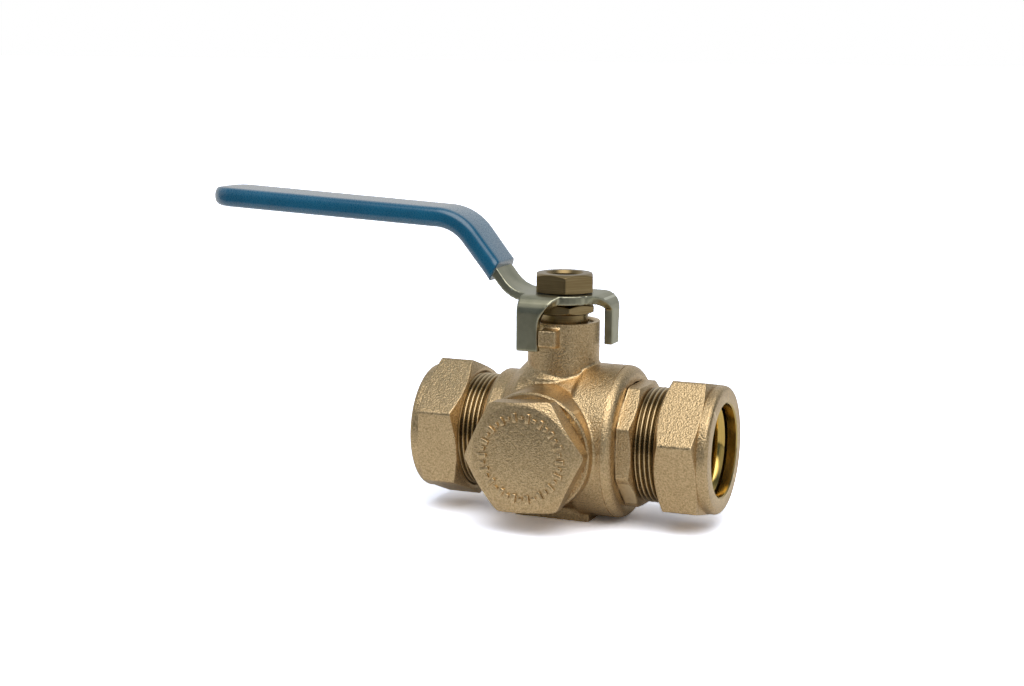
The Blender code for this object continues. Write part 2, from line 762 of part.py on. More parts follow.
def stem():
    """Stem from the tang in the ball's slot to the thread that holds the lever."""
    shoulder_bottom = BALL_R + 0.4 * MM
    outline = [
        (TANG_BOTTOM, 0),
        (TANG_BOTTOM, STEM_SHOULDER_R),
        (STEM_SHOULDER_TOP, STEM_SHOULDER_R),
        (STEM_SHOULDER_TOP, STEM_R),
        (PLATE_BOTTOM - FIT_GAP, STEM_R),
        (PLATE_BOTTOM - FIT_GAP, STEM_THREAD_R),
        (STEM_TOP - 0.8 * MM, STEM_THREAD_R),
        (STEM_TOP, STEM_THREAD_R - 0.8 * MM),
        (STEM_TOP, 0),
    ]
    shaft = turned("stem", outline, "Z", SMALL_ROUND)
    margin = 2 * STEM_SHOULDER_R
    half = TANG_WIDTH / 2
    for side in (-1, 1):
        near, far = sorted((side * half, side * margin))
        cheek = box(f"stem_cheek_{side}", (near, -margin, 0), (far, margin, shoulder_bottom))
        combine(shaft, "DIFFERENCE", cheek)
        near, far = sorted((side * TANG_LENGTH / 2, side * margin))
        end = box(f"stem_tang_end_{side}", (-margin, near, 0), (margin, far, shoulder_bottom))
        combine(shaft, "DIFFERENCE", end)
        near, far = sorted((side * STEM_FLATS / 2, side * margin))
        flat = box(f"stem_flat_{side}", (near, -margin, PLATE_BOTTOM - FIT_GAP), (far, margin, NUT_SEAT))
        combine(shaft, "DIFFERENCE", flat)
    return shaft


def ring_about_stem(name, bottom, height, outer):
    inner = STEM_R + FIT_GAP
    outline = [
        (bottom, inner),
        (bottom, outer),
        (bottom + height, outer),
        (bottom + height, inner),
    ]
    return turned(name, outline, "Z", SMALL_ROUND)


def gland_nut():
    """Packing nut: threaded below, a narrow neck, and a hexagon with both edges chamfered."""
    bore = STEM_R + FIT_GAP
    widest = corner_radius(6, GLAND_FLATS)
    outline = [
        (GLAND_BOTTOM, bore),
        (GLAND_BOTTOM, PACKING_R - 0.1 * MM),
        (NECK_TOP - MM, PACKING_R - 0.1 * MM),
        (NECK_TOP - MM, GLAND_NECK_R),
        (GLAND_HEX_BOTTOM, GLAND_NECK_R),
        (GLAND_HEX_BOTTOM + 0.9 * MM, widest),
        (GLAND_TOP - 0.8 * MM, widest),
        (GLAND_TOP, GLAND_FLATS / 2 - 0.4 * MM),
        (GLAND_TOP, bore),
    ]
    nut = turned("gland_nut", outline, "Z")
    keep = prism(
        "gland_flats",
        polygon(6, GLAND_FLATS, GLAND_TURN),
        NECK_TOP - FIT_GAP,
        GLAND_TOP + MM,
        "Z",
    )
    lower = turned(
        "gland_keep",
        [
            (GLAND_BOTTOM - MM, 0),
            (GLAND_BOTTOM - MM, PACKING_R + MM),
            (NECK_TOP - 0.5 * MM, PACKING_R + MM),
            (NECK_TOP - 0.5 * MM, 0),
        ],
        "Z",
        SMALL_ROUND,
    )
    combine(lower, "UNION", keep)
    keep.parent = lower
    upper_join = turned(
        "gland_join",
        [
            (GLAND_BOTTOM, 0),
            (GLAND_BOTTOM, GLAND_NECK_R + FIT_GAP),
            (GLAND_TOP, GLAND_NECK_R + FIT_GAP),
            (GLAND_TOP, 0),
        ],
        "Z",
        SMALL_ROUND,
    )
    combine(lower, "UNION", upper_join)
    upper_join.parent = lower
    return combine(nut, "INTERSECT", lower)


def bent_path(points, radii, steps=5):
    """(position, direction) along straight runs through points, with an arc of each radius at each inner one."""
    stations = []
    count = len(points)
    for i in range(count):
        here = points[i]
        if i in (0, count - 1):
            other = points[1] if i == 0 else points[-2]
            sign = 1 if i == 0 else -1
            length = math.dist(here, other)
            heading = tuple(sign * (b - a) / length for a, b in zip(here, other))
            stations.append((here, heading))
            continue
        before = math.atan2(here[1] - points[i - 1][1], here[0] - points[i - 1][0])
        after = math.atan2(points[i + 1][1] - here[1], points[i + 1][0] - here[0])
        turn = (after - before + math.pi) % (2 * math.pi) - math.pi
        side = 1 if turn > 0 else -1
        run = radii[i - 1] * math.tan(abs(turn) / 2)
        start = (here[0] - run * math.cos(before), here[1] - run * math.sin(before))
        centre = (
            start[0] - side * radii[i - 1] * math.sin(before),
            start[1] + side * radii[i - 1] * math.cos(before),
        )
        for k in range(steps + 1):
            a = before + turn * k / steps
            position = (
                centre[0] + side * radii[i - 1] * math.sin(a),
                centre[1] - side * radii[i - 1] * math.cos(a),
            )
            stations.append((position, (math.cos(a), math.sin(a))))
    return stations


def between(table, at):
    """Straight-line value of a table of (place, value) rows."""
    if at <= table[0][0]:
        return table[0][1]
    for (a, low), (b, high) in zip(table, table[1:]):
        if at <= b:
            return low + (high - low) * (at - a) / (b - a)
    return table[-1][1]


def lever_path(reach):
    """Middle of the lever's steel in the X-Z plane, from the stem out to a distance along -X."""
    corner_run = ARM_RISE / math.tan(ARM_ANGLE)
    upper = (-ARM_START - corner_run, PLATE_MIDDLE + ARM_RISE)
    tip_rise = (reach + upper[0]) * math.tan(GRIP_ANGLE)
    points = [
        (-STEM_R, PLATE_MIDDLE),
        (-ARM_START, PLATE_MIDDLE),
        upper,
        (-reach, upper[1] + tip_rise),
    ]
    return bent_path(points, (LOWER_BEND, UPPER_BEND), 6)


def divided(stations, longest):
    """Adds places on the straight runs, so that no run is longer than the given length."""
    out = [stations[0]]
    for (a, _), (b, heading) in zip(stations, stations[1:]):
        pieces = max(1, math.ceil(math.dist(a, b) / longest))
        for k in range(1, pieces):
            mix = k / pieces
            out.append(((a[0] + (b[0] - a[0]) * mix, a[1] + (b[1] - a[1]) * mix), heading_of(a, b)))
        out.append((b, heading))
    return out


def from_start(stations, start):
    """The places beyond a distance along -X, with one exactly there."""
    for i, ((a, _), (b, heading)) in enumerate(zip(stations, stations[1:])):
        if -a[0] <= start < -b[0]:
            mix = (start + a[0]) / (a[0] - b[0])
            first = (a[0] + (b[0] - a[0]) * mix, a[1] + (b[1] - a[1]) * mix)
            return [(first, heading_of(a, b))] + stations[i + 1 :]
    return stations


def heading_of(a, b):
    length = math.dist(a, b)
    return ((b[0] - a[0]) / length, (b[1] - a[1]) / length)


def arm_half_width(x):
    """Half width of the steel at a distance x along -X."""
    return between(
        [
            (ARM_START / 2, ARM_HALF_WIDTH + 2.2 * MM),
            (ARM_START, ARM_HALF_WIDTH + 0.9 * MM),
            (SLEEVE_START, ARM_HALF_WIDTH),
            (2 * SLEEVE_START, (ARM_HALF_WIDTH + GRIP_HALF_WIDTH) / 2),
            (LEVER_REACH, GRIP_HALF_WIDTH),
        ],
        x,
    )


def strip_ring(position, heading, half_width, thickness):
    """Four corners of a flat section across the lever's path."""
    x, z = position
    nx, nz = -heading[1], heading[0]
    t = thickness / 2
    return [
        (x + nx * t, -half_width, z + nz * t),
        (x + nx * t, half_width, z + nz * t),
        (x - nx * t, half_width, z - nz * t),
        (x - nx * t, -half_width, z - nz * t),
    ]


def lever_arm():
    reach = LEVER_REACH - SLEEVE_TIP
    stations = divided(lever_path(reach - STEEL_TIP_ROUND), 16.0 * MM)
    rings = [strip_ring(p, d, arm_half_width(-p[0]), PLATE_THICK) for p, d in stations]
    (x, z), heading = stations[-1]
    for k in (1, 2, 3):
        a = math.pi / 2 * k / 3
        along = STEEL_TIP_ROUND * math.sin(a)
        narrower = GRIP_HALF_WIDTH - STEEL_TIP_ROUND * (1 - math.cos(a))
        tip = (x + heading[0] * along, z + heading[1] * along)
        rings.append(strip_ring(tip, heading, narrower, PLATE_THICK))
    return lofted("lever_arm", rings)


def lever_plate():
    """Flat part round the stem, with the double-D hole left for a cutter."""
    middle = [
        (-8.5 * MM, 6.9 * MM),
        (-6.0 * MM, 9.8 * MM),
        (-1.0 * MM, PLATE_BACK),
        (8.0 * MM, PLATE_BACK),
        (8.8 * MM, PLATE_BACK - 1.2 * MM),
        (8.8 * MM, -7.0 * MM),
    ]
    front = [math.radians(a) for a in (-42, -52, -62, -72)]
    middle += [(PLATE_R * math.cos(a), PLATE_R * math.sin(a)) for a in front]
    middle += [
        (-STOP_EDGE, -PLATE_R + 1.2 * MM),
        (-STOP_EDGE - FLAP_WIDTH + MM, -PLATE_R + 1.4 * MM),
        (-8.5 * MM, -6.9 * MM),
    ]
    # The prism's plane holds (y, -x) once its axis is turned to Z.
    return prism("lever_plate", [(y, -x) for x, y in middle], PLATE_BOTTOM, PLATE_TOP, "Z")


def bent_tab(name, start, end, stations_of_edges, across):
    """A tab that runs out flat, bends down and ends at a height. Its edges follow rows of (share, low, high)."""
    points = [(start, PLATE_MIDDLE), (STOP_MIDDLE, PLATE_MIDDLE), (STOP_MIDDLE, end)]
    stations = divided(bent_path(points, (STOP_BEND,), 5), 2.0 * MM)
    lengths = [0.0]
    for (a, _), (b, _) in zip(stations, stations[1:]):
        lengths.append(lengths[-1] + math.dist(a, b))
    rings = []
    for (position, heading), length in zip(stations, lengths):
        low = between([(s, a) for s, a, _ in stations_of_edges], length)
        high = between([(s, b) for s, _, b in stations_of_edges], length)
        reach, z = position
        nx, nz = -heading[1], heading[0]
        t = PLATE_THICK / 2
        ring = []
        for side, edge in ((1, low), (1, high), (-1, high), (-1, low)):
            ring.append(across(reach + side * nx * t, edge, z + side * nz * t))
        rings.append(ring)
    return lofted(name, rings)


def stop_flap():
    """Front tab that meets the lug's left side when the valve is open."""
    left = -STOP_EDGE - FLAP_WIDTH
    start = 6.4 * MM
    straight = STOP_MIDDLE - STOP_BEND - start
    bend = STOP_BEND * math.pi / 2
    edges = [
        (0.0, left, STOP_EDGE + 2.0 * MM),
        (straight, left, STOP_EDGE),
        (straight + bend, left, -STOP_EDGE + 1.6 * MM),
        (straight + bend + FLAP_FILLET / 2, left, -STOP_EDGE + 0.4 * MM),
        (straight + bend + FLAP_FILLET, left, -STOP_EDGE),
    ]
    end = LUG_BOTTOM - FLAP_BELOW_LUG
    return bent_tab("stop_flap", start, end, edges, lambda reach, edge, z: (edge, -reach, z))


def stop_hook():
    """Right tab that meets the lug's right side when the valve is closed."""
    straight = STOP_MIDDLE - STOP_BEND - 7.0 * MM
    bend = STOP_BEND * math.pi / 2
    edges = [
        (0.0, -8.0 * MM, PLATE_BACK - 0.5 * MM),
        (straight, -6.0 * MM, PLATE_BACK),
        (straight + bend, STOP_EDGE, PLATE_BACK - 0.3 * MM),
        (straight + bend + 6.0 * MM, STOP_EDGE, STOP_EDGE + HOOK_WIDTH),
    ]
    end = LUG_BOTTOM - HOOK_BELOW_LUG
    return bent_tab("stop_hook", 7.0 * MM, end, edges, lambda reach, edge, z: (reach, edge, z))


def stem_hole_cutter():
    radius = STEM_THREAD_R + FIT_GAP
    half = STEM_FLATS / 2 + FIT_GAP
    hole = turned(
        "stem_hole_cutter",
        [
            (PLATE_BOTTOM - MM, 0),
            (PLATE_BOTTOM - MM, radius),
            (PLATE_TOP + MM, radius),
            (PLATE_TOP + MM, 0),
        ],
        "Z",
        SMALL_ROUND,
    )
    sides = box(
        "stem_hole_flats",
        (-half, -2 * radius, PLATE_BOTTOM - 2 * MM),
        (half, 2 * radius, PLATE_TOP + 2 * MM),
    )
    return combine(hole, "INTERSECT", sides)


def lever():
    plate = lever_plate()
    plate.name = "lever"
    combine(plate, "DIFFERENCE", stem_hole_cutter())
    for piece in (lever_arm(), stop_flap(), stop_hook()):
        combine(plate, "UNION", piece)
    return plate


def sleeve_ring(position, heading, half_width, half_thick):
    """Rounded section of the sleeve: flat faces and half-round sides."""
    x, z = position
    nx, nz = -heading[1], heading[0]
    radius = min(half_thick, half_width)
    ring = []
    for corner in range(4):
        y_side = (1, -1, -1, 1)[corner]
        n_side = (1, 1, -1, -1)[corner]
        for k in range(4):
            a = math.pi / 2 * (k / 3 if corner % 2 == 0 else 1 - k / 3)
            y = y_side * (half_width - radius + radius * math.cos(a))
            n = n_side * (half_thick - radius + radius * math.sin(a))
            point = (x + nx * n, y, z + nz * n)
            if not ring or math.dist(point, ring[-1]) > 0.02 * MM:
                ring.append(point)
    if math.dist(ring[0], ring[-1]) < 0.02 * MM:
        ring.pop()
    return ring


def lever_grip():
    """Dipped sleeve, open at its lower end, with a closed rounded tip."""
    half_thick = PLATE_THICK / 2 + FIT_GAP + SLEEVE_WALL
    side = FIT_GAP + SLEEVE_SIDE
    path = lever_path(LEVER_REACH - SLEEVE_TIP_ROUND)
    kept = divided(from_start(path, SLEEVE_START), 16.0 * MM)
    rings = [sleeve_ring(p, d, arm_half_width(-p[0]) + side, half_thick) for p, d in kept]
    (x, z), heading = kept[-1]
    widest = arm_half_width(-x) + side
    for k in (1, 2, 3, 4):
        a = math.pi / 2 * k / 4
        along = SLEEVE_TIP_ROUND * math.sin(a)
        tip = (x + heading[0] * along, z + heading[1] * along)
        narrower = widest - SLEEVE_TIP_ROUND * (1 - math.cos(a))
        thinner = half_thick * (1 - 0.3 * (k / 4) ** 3)
        rings.append(sleeve_ring(tip, heading, narrower, thinner))
    sleeve = lofted("lever_grip", rings)
    return combine(sleeve, "DIFFERENCE", sleeve_hollow())


def sleeve_hollow():
    """Room for the steel inside the sleeve."""
    thickness = PLATE_THICK + 2 * FIT_GAP
    path = lever_path(LEVER_REACH - SLEEVE_TIP + FIT_GAP - STEEL_TIP_ROUND)
    kept = divided(from_start(path, SLEEVE_START - MM), 16.0 * MM)
    rings = [strip_ring(p, d, arm_half_width(-p[0]) + FIT_GAP, thickness) for p, d in kept]
    (x, z), heading = kept[-1]
    for k in (1, 2, 3):
        a = math.pi / 2 * k / 3
        along = STEEL_TIP_ROUND * math.sin(a)
        narrower = GRIP_HALF_WIDTH + FIT_GAP - STEEL_TIP_ROUND * (1 - math.cos(a))
        tip = (x + heading[0] * along, z + heading[1] * along)
        rings.append(strip_ring(tip, heading, narrower, thickness))
    return lofted("sleeve_hollow", rings)


def lever_nut():
    bore = STEM_THREAD_R + THREAD_GAP
    widest = corner_radius(6, LEVER_NUT_FLATS)
    top = NUT_SEAT + LEVER_NUT_HEIGHT
    outline = [
        (NUT_SEAT, bore),
        (NUT_SEAT, widest + 0.05 * MM),
        (top - 0.7 * MM, widest + 0.05 * MM),
        (top, LEVER_NUT_FLATS / 2 - 0.3 * MM),
        (top, bore + 0.8 * MM),
        (top - 0.8 * MM, bore),
    ]
    nut = turned("lever_nut", outline, "Z")
    corners = polygon(6, LEVER_NUT_FLATS, LEVER_NUT_TURN)
    return combine(nut, "INTERSECT", prism("lever_nut_flats", corners, NUT_SEAT - MM, top + MM, "Z"))


def filter_cap():
    """Hexagonal cap with a flange, a hollow threaded spigot, a seal groove and a shallow round panel."""
    widest = corner_radius(6, CAP_FLATS)
    spigot_end = CAP_BACK - CAP_SPIGOT
    groove_r = CAP_THREAD_R - 2 * CAP_SEAL_WIRE + 0.15 * MM
    outline = [
        (CAP_FACE - CAP_CEILING, 0),
        (CAP_FACE - CAP_CEILING, CAP_HOLLOW_R),
        (spigot_end, CAP_HOLLOW_R),
        (spigot_end, CAP_THREAD_R - 0.6 * MM),
        (spigot_end + 0.6 * MM, CAP_THREAD_R),
        (CAP_BACK - SEAL_GROOVE_WIDTH - FIT_GAP, CAP_THREAD_R),
        (CAP_BACK - SEAL_GROOVE_WIDTH - FIT_GAP, groove_r),
        (CAP_BACK, groove_r),
        (CAP_BACK, CAP_FLANGE_R),
        (CAP_HEX_BACK, CAP_FLANGE_R),
        (CAP_HEX_BACK + 0.8 * MM, widest + 0.05 * MM),
        (CAP_FACE - CAP_FACE_CHAMFER, widest + 0.05 * MM),
        (CAP_FACE, CAP_FACE_R),
        (CAP_FACE, 0),
    ]
    cap = turned("filter_cap", outline, "-Y")
    keep = prism("cap_flats", polygon(6, CAP_FLATS, CAP_TURN), CAP_BACK - MM / 2, CAP_FACE + MM, "-Y")
    spigot = turned(
        "cap_keep",
        [
            (spigot_end - MM, 0),
            (spigot_end - MM, CAP_THREAD_R + MM / 2),
            (CAP_BACK, CAP_THREAD_R + MM / 2),
            (CAP_BACK, 0),
        ],
        "-Y",
    )
    combine(keep, "UNION", spigot)
    spigot.parent = keep
    return combine(cap, "INTERSECT", keep)


def cap_seal():
    """O-ring under the cap's head."""
    centre = CAP_THREAD_R - CAP_SEAL_WIRE + 0.3 * MM
    middle = CAP_BACK - FIT_GAP / 2 - SEAL_GROOVE_WIDTH / 2
    outline = arc((middle, centre), CAP_SEAL_WIRE - 0.05 * MM, 0, 300, 5)
    return turned("cap_seal", outline, "-Y", BALL_ROUND)


def build():
    clear_scene()
    fixed = axis_empty("fixed_parts")
    lever_axis = axis_empty("lever_axis")
    ball_axis = axis_empty("ball_axis")
    cap_axis = axis_empty("cap_axis")
    left_axis = axis_empty("left_nut_axis")
    right_axis = axis_empty("right_nut_axis")

    place(valve_body(), fixed, "forged_brass")
    place(end_adapter(), fixed, "forged_brass")
    place(body_seal(), fixed, "ptfe")
    place(seat("left_seat", -1), fixed, "ptfe")
    place(seat("right_seat", 1), fixed, "ptfe")
    packing = ring_about_stem("stem_packing", PACKING_BOTTOM, PACKING_HEIGHT, PACKING_R)
    place(packing, fixed, "ptfe")
    place(gland_nut(), fixed, "turned_brass")

    place(ball(), ball_axis, "chromed_brass")
    place(filter_ring(), ball_axis, "stainless")
    place(filter_screen(), ball_axis, "stainless")
    place(filter_clip(), ball_axis, "stainless")

    place(stem(), lever_axis, "turned_brass")
    washer = ring_about_stem("stem_washer", WASHER_BOTTOM, WASHER_THICK, STEM_SHOULDER_R)
    place(washer, lever_axis, "ptfe")
    place(lever(), lever_axis, "zinc_steel")
    place(lever_grip(), lever_axis, "blue_pvc")
    place(lever_nut(), lever_axis, "turned_brass")

    place(cap_seal(), cap_axis, "rubber")
    place(filter_cap(), cap_axis, "forged_brass")

    place(compression_nut("left_nut", -1, COLLAR_X, LEFT_NUT_TURN), left_axis, "forged_brass")
    place(olive("left_olive", -1, COLLAR_X), left_axis, "turned_brass")
    place(compression_nut("right_nut", 1, RIGHT_ROOT, RIGHT_NUT_TURN), right_axis, "forged_brass")
    place(olive("right_olive", 1, RIGHT_ROOT), right_axis, "turned_brass")


build()
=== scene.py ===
"""Finished looks of the lever ball valve: forged casting, cut threads, zinc-plated lever, dipped sleeve."""

import math

import bmesh
import bpy
import numpy as np
from mathutils import Matrix, Vector


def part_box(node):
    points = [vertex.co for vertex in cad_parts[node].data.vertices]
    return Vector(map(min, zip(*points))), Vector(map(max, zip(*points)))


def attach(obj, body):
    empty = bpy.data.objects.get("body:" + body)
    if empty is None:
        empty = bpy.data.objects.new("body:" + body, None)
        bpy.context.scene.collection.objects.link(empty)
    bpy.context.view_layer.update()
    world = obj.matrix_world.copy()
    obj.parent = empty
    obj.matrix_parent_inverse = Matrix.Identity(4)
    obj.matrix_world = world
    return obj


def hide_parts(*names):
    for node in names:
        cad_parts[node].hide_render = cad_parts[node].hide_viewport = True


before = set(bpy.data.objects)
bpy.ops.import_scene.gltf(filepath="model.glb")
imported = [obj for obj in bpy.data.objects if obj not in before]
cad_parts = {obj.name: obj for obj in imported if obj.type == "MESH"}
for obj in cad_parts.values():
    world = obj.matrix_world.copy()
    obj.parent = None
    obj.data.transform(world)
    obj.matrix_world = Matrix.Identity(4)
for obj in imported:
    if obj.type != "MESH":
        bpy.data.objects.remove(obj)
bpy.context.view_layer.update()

MM = 0.001

# The pipe's axis and the stem's axis cross at the ball's centre, this high above the foot.
CENTRE_Z = -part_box("valve_body")[0][2] + 24.3 * MM

# Facets of a full turn
FINE = 180
HEX_FINE = 360

# Threads
PITCH = 1.5 * MM
THREAD_CREST = 17.6 * MM
THREAD_ROOT = 16.75 * MM
THREAD_CORE = 16.5 * MM
SOCKET_R = 14.15 * MM
PORT_R = 12.5 * MM
CONE_SPREAD = 1.85 * MM
CONE_DEPTH = 3.1 * MM

# Casting
CENTRE_R = 22.2 * MM
BODY_R = 23.5 * MM
BODY_END = 23.5 * MM
COLLAR_X = 20.3 * MM
COLLAR_R = 19.7 * MM
NECK_R = 11.1 * MM
NECK_TOP = 36.4 * MM
BOSS_R = 18.3 * MM
BOSS_FACE = 27.0 * MM
WEB_R = 12.3 * MM
CAST_GRAIN = 0.36 * MM

# Bores of the casting, and how deep the seat's ledge and the tube's stop lie
SEAL_BORE_R = 18.8 * MM
CAVITY_R = 17.6 * MM
SEAT_POCKET_R = 16.4 * MM
SEAT_LEDGE_X = 16.9 * MM
TUBE_STOP_X = 20.6 * MM
STEM_FOOT_R = 8.3 * MM
STEM_BORE_R = 6.3 * MM
PACKING_BORE_R = 9.2 * MM
FRONT_PORT_R = 12.6 * MM
CAP_BORE_R = 15.3 * MM

# Flats
NUT_FLATS = 39.2 * MM
SPANNER_FLATS = 36.8 * MM
CAP_FLATS = 33.2 * MM
GLAND_FLATS = 17.0 * MM
LEVER_NUT_FLATS = 17.2 * MM
LEFT_NUT_TURN = math.radians(21.3)
RIGHT_NUT_TURN = math.radians(11.6)
CAP_TURN = math.radians(-4)
CAP_EASING = 34
GLAND_TURN = math.radians(-29)
LEVER_NUT_TURN = math.radians(-21.3)

# Lever's path in the X-Z plane
PLATE_MIDDLE = 43.65 * MM
ARM_START = 15.0 * MM
ARM_RISE = 22.9 * MM
ARM_ANGLE = math.radians(51.2)
GRIP_ANGLE = math.radians(2.6)
LOWER_BEND = 11.0 * MM
UPPER_BEND = 15.0 * MM
SLEEVE_START = 21.6 * MM
ARM_HALF_WIDTH = 6.0 * MM
GRIP_HALF_WIDTH = 7.8 * MM
SLEEVE_SIDE = 1.5 * MM
SLEEVE_HALF_THICK = 3.05 * MM
SLEEVE_TIP_ROUND = 8.8 * MM
SLEEVE_MOUTH = 19.5 * MM
MOUTH_SLANT = 2.7 * MM

# Studio: dim room, and round patches of light as (direction, full within, gone beyond, strength)
ROOM_LIGHT = 0.11
SOFT_LIGHTS = [
    ((0.22, -0.42, 0.88), 16, 40, 2.7),
    ((-0.30, 0.90, 0.30), 20, 75, 0.55),
    ((-1.0, -0.25, 0.30), 15, 50, 0.35),
    ((1.0, -0.30, 0.25), 10, 40, 0.30),
]

# Camera: millimetres of lens, place, and turn in degrees
LENS = 63.3
CAMERA_PLACE = (0.1922, -0.5126, CENTRE_Z + 0.1204)
CAMERA_TURN = (80.515, -0.4, 22.29)

AXIS_TURN = {
    "X": Matrix.Identity(4),
    "Z": Matrix.Rotation(-math.pi / 2, 4, "Y"),
    "-Y": Matrix.Rotation(-math.pi / 2, 4, "Z"),
}


# ---------------------------------------------------------------- finishes


def node(tree, kind, values=None, **settings):
    """A node with its settings and the start values of its inputs."""
    made = tree.nodes.new(kind)
    for key, value in settings.items():
        setattr(made, key, value)
    for key, value in (values or {}).items():
        made.inputs[key].default_value = value
    return made


def ramp(tree, factor, stops):
    """Colours along a 0 to 1 factor."""
    made = node(tree, "ShaderNodeValToRGB")
    elements = made.color_ramp.elements
    while len(elements) < len(stops):
        elements.new(0.5)
    for element, (place, colour) in zip(elements, stops):
        element.position = place
        element.color = (*colour, 1.0)
    tree.links.new(factor, made.inputs["Fac"])
    return made.outputs["Color"]


def levels(tree, factor, low, high):
    """A 0 to 1 factor, spread between two values."""
    made = node(tree, "ShaderNodeMapRange", {"To Min": low, "To Max": high})
    tree.links.new(factor, made.inputs["Value"])
    return made.outputs["Result"]


def noise(tree, scale, detail=3.0, stretch=(1.0, 1.0, 1.0), roughness=0.55):
    """Noise over the piece's own coordinates. Scale counts features per metre."""
    place = node(tree, "ShaderNodeTexCoord")
    mapping = node(tree, "ShaderNodeMapping", {"Scale": stretch})
    made = node(tree, "ShaderNodeTexNoise", {"Scale": scale, "Detail": detail, "Roughness": roughness})
    tree.links.new(place.outputs["Object"], mapping.inputs["Vector"])
    tree.links.new(mapping.outputs["Vector"], made.inputs["Vector"])
    return made.outputs["Fac"]


def bump(tree, height, distance, strength, under=None):
    """Relief from a height, on top of another relief where there is one."""
    made = node(tree, "ShaderNodeBump", {"Distance": distance, "Strength": strength})
    tree.links.new(height, made.inputs["Height"])
    if under:
        tree.links.new(under, made.inputs["Normal"])
    return made.outputs["Normal"]


def mixed(tree, factor, first, second):
    """One colour over another, by a factor."""
    made = node(tree, "ShaderNodeMix", data_type="RGBA", blend_type="MIX")
    tree.links.new(factor, made.inputs["Factor"])
    for value, socket in ((first, made.inputs["A"]), (second, made.inputs["B"])):
        if isinstance(value, tuple):
            socket.default_value = (*value, 1.0)
        else:
            tree.links.new(value, socket)
    return made.outputs["Result"]


def edges_worn(tree):
    """1 on sharp outer edges and 0 on flat ground."""
    shape = node(tree, "ShaderNodeNewGeometry")
    made = node(tree, "ShaderNodeMapRange", {"From Min": 0.52, "From Max": 0.6})
    tree.links.new(shape.outputs["Pointiness"], made.inputs["Value"])
    return made.outputs["Result"]


def finish(name, metallic, **sockets):
    """A material and its tree. Values that are the same all over go on the shader's own sockets."""
    material = bpy.data.materials.new(name)
    material.use_nodes = True
    tree = material.node_tree
    shader = tree.nodes["Principled BSDF"]
    shader.inputs["Metallic"].default_value = metallic
    for key, value in sockets.items():
        shader.inputs[key.replace("_", " ")].default_value = value
    return material, tree, shader


def wire(tree, shader, colour, roughness, normal):
    """Joins a finish's three patterns to its shader."""
    tree.links.new(colour, shader.inputs["Base Color"])
    tree.links.new(roughness, shader.inputs["Roughness"])
    tree.links.new(normal, shader.inputs["Normal"])


def from_axis(tree, low, high):
    """0 to 1 between two distances from the pipe's axis."""
    place = node(tree, "ShaderNodeTexCoord")
    middle = node(tree, "ShaderNodeMapping", {"Location": (0, 0, -CENTRE_Z), "Scale": (0, 1, 1)})
    reach = node(tree, "ShaderNodeVectorMath", operation="LENGTH")
    made = node(tree, "ShaderNodeMapRange", {"From Min": low, "From Max": high})
    tree.links.new(place.outputs["Object"], middle.inputs["Vector"])
    tree.links.new(middle.outputs["Vector"], reach.inputs[0])
    tree.links.new(reach.outputs["Value"], made.inputs["Value"])
    return made.outputs["Result"]


def forged_brass(name="forged_brass", bored=False, blast=0.9):
    """Shot-blasted forging: a fine sparkling grain over a slightly uneven skin, rubbed bright on its edges.

    A bored piece is smooth and golden inside its bore."""
    material, tree, shader = finish(name, 1.0)
    grain = noise(tree, 1900.0, 1.5, roughness=0.8)
    skin = noise(tree, 260.0, 4.0)
    tarnish = noise(tree, 45.0, 5.0)
    base = ramp(tree, grain, [(0.33, (0.46, 0.325, 0.17)), (0.66, (0.80, 0.60, 0.345))])
    stained = mixed(tree, levels(tree, tarnish, 0.0, 0.30), base, (0.40, 0.27, 0.13))
    colour = mixed(tree, edges_worn(tree), stained, (0.90, 0.71, 0.44))
    rough = levels(tree, skin, 0.22, 0.40)
    wavy = bump(tree, skin, 0.12 * MM, 0.25)
    grainy = bump(tree, grain, 0.24 * MM, blast, wavy)
    if bored:
        outside = from_axis(tree, SOCKET_R + 0.5 * MM, SOCKET_R + 0.7 * MM)
        colour = mixed(tree, outside, (0.52, 0.38, 0.14), colour)
        rough = mixed(tree, outside, (0.2, 0.2, 0.2), rough)
        tree.links.new(levels(tree, outside, 0.03, blast), grainy.node.inputs["Strength"])
    wire(tree, shader, colour, rough, grainy)
    return material


def thread_brass_painted_shade():
    """Bright crests, with painted shade that darkens the colour from the crests down into the grooves."""
    material, tree, shader = finish("cut_thread", 1.0)
    marks = noise(tree, 2600.0, 2.0, (0.15, 1.0, 1.0))
    # Painted shade: the colour is darkest at the thread's root and brightest at its crest.
    height = from_axis(tree, THREAD_ROOT, THREAD_CREST)
    tones = [(0.1, (0.12, 0.08, 0.035)), (0.55, (0.36, 0.265, 0.135)), (0.95, (0.78, 0.61, 0.37))]
    depth = ramp(tree, height, tones)
    colour = mixed(tree, levels(tree, marks, 0.0, 0.3), depth, (0.30, 0.21, 0.10))
    wire(tree, shader, colour, levels(tree, marks, 0.16, 0.34), bump(tree, marks, 0.02 * MM, 0.3))
    return material


def turned_brass(name, axis, tone=(0.62, 0.46, 0.24), shade=(0.44, 0.30, 0.13), rough=(0.14, 0.32)):
    """Machined brass with fine tool marks that run round the given axis."""
    material, tree, shader = finish(name, 1.0)
    along = 1.0
    across = 0.02
    stretch = {"X": (along, across, across), "Z": (across, across, along), "Y": (across, along, across)}[axis]
    marks = noise(tree, 3600.0, 3.0, stretch)
    patina = noise(tree, 120.0, 4.0)
    base = ramp(tree, marks, [(0.3, shade), (0.7, tone)])
    colour = mixed(tree, levels(tree, patina, 0.0, 0.28), base, tuple(0.62 * c for c in shade))
    wire(tree, shader, colour, levels(tree, patina, *rough), bump(tree, marks, 0.03 * MM, 0.4))
    return material


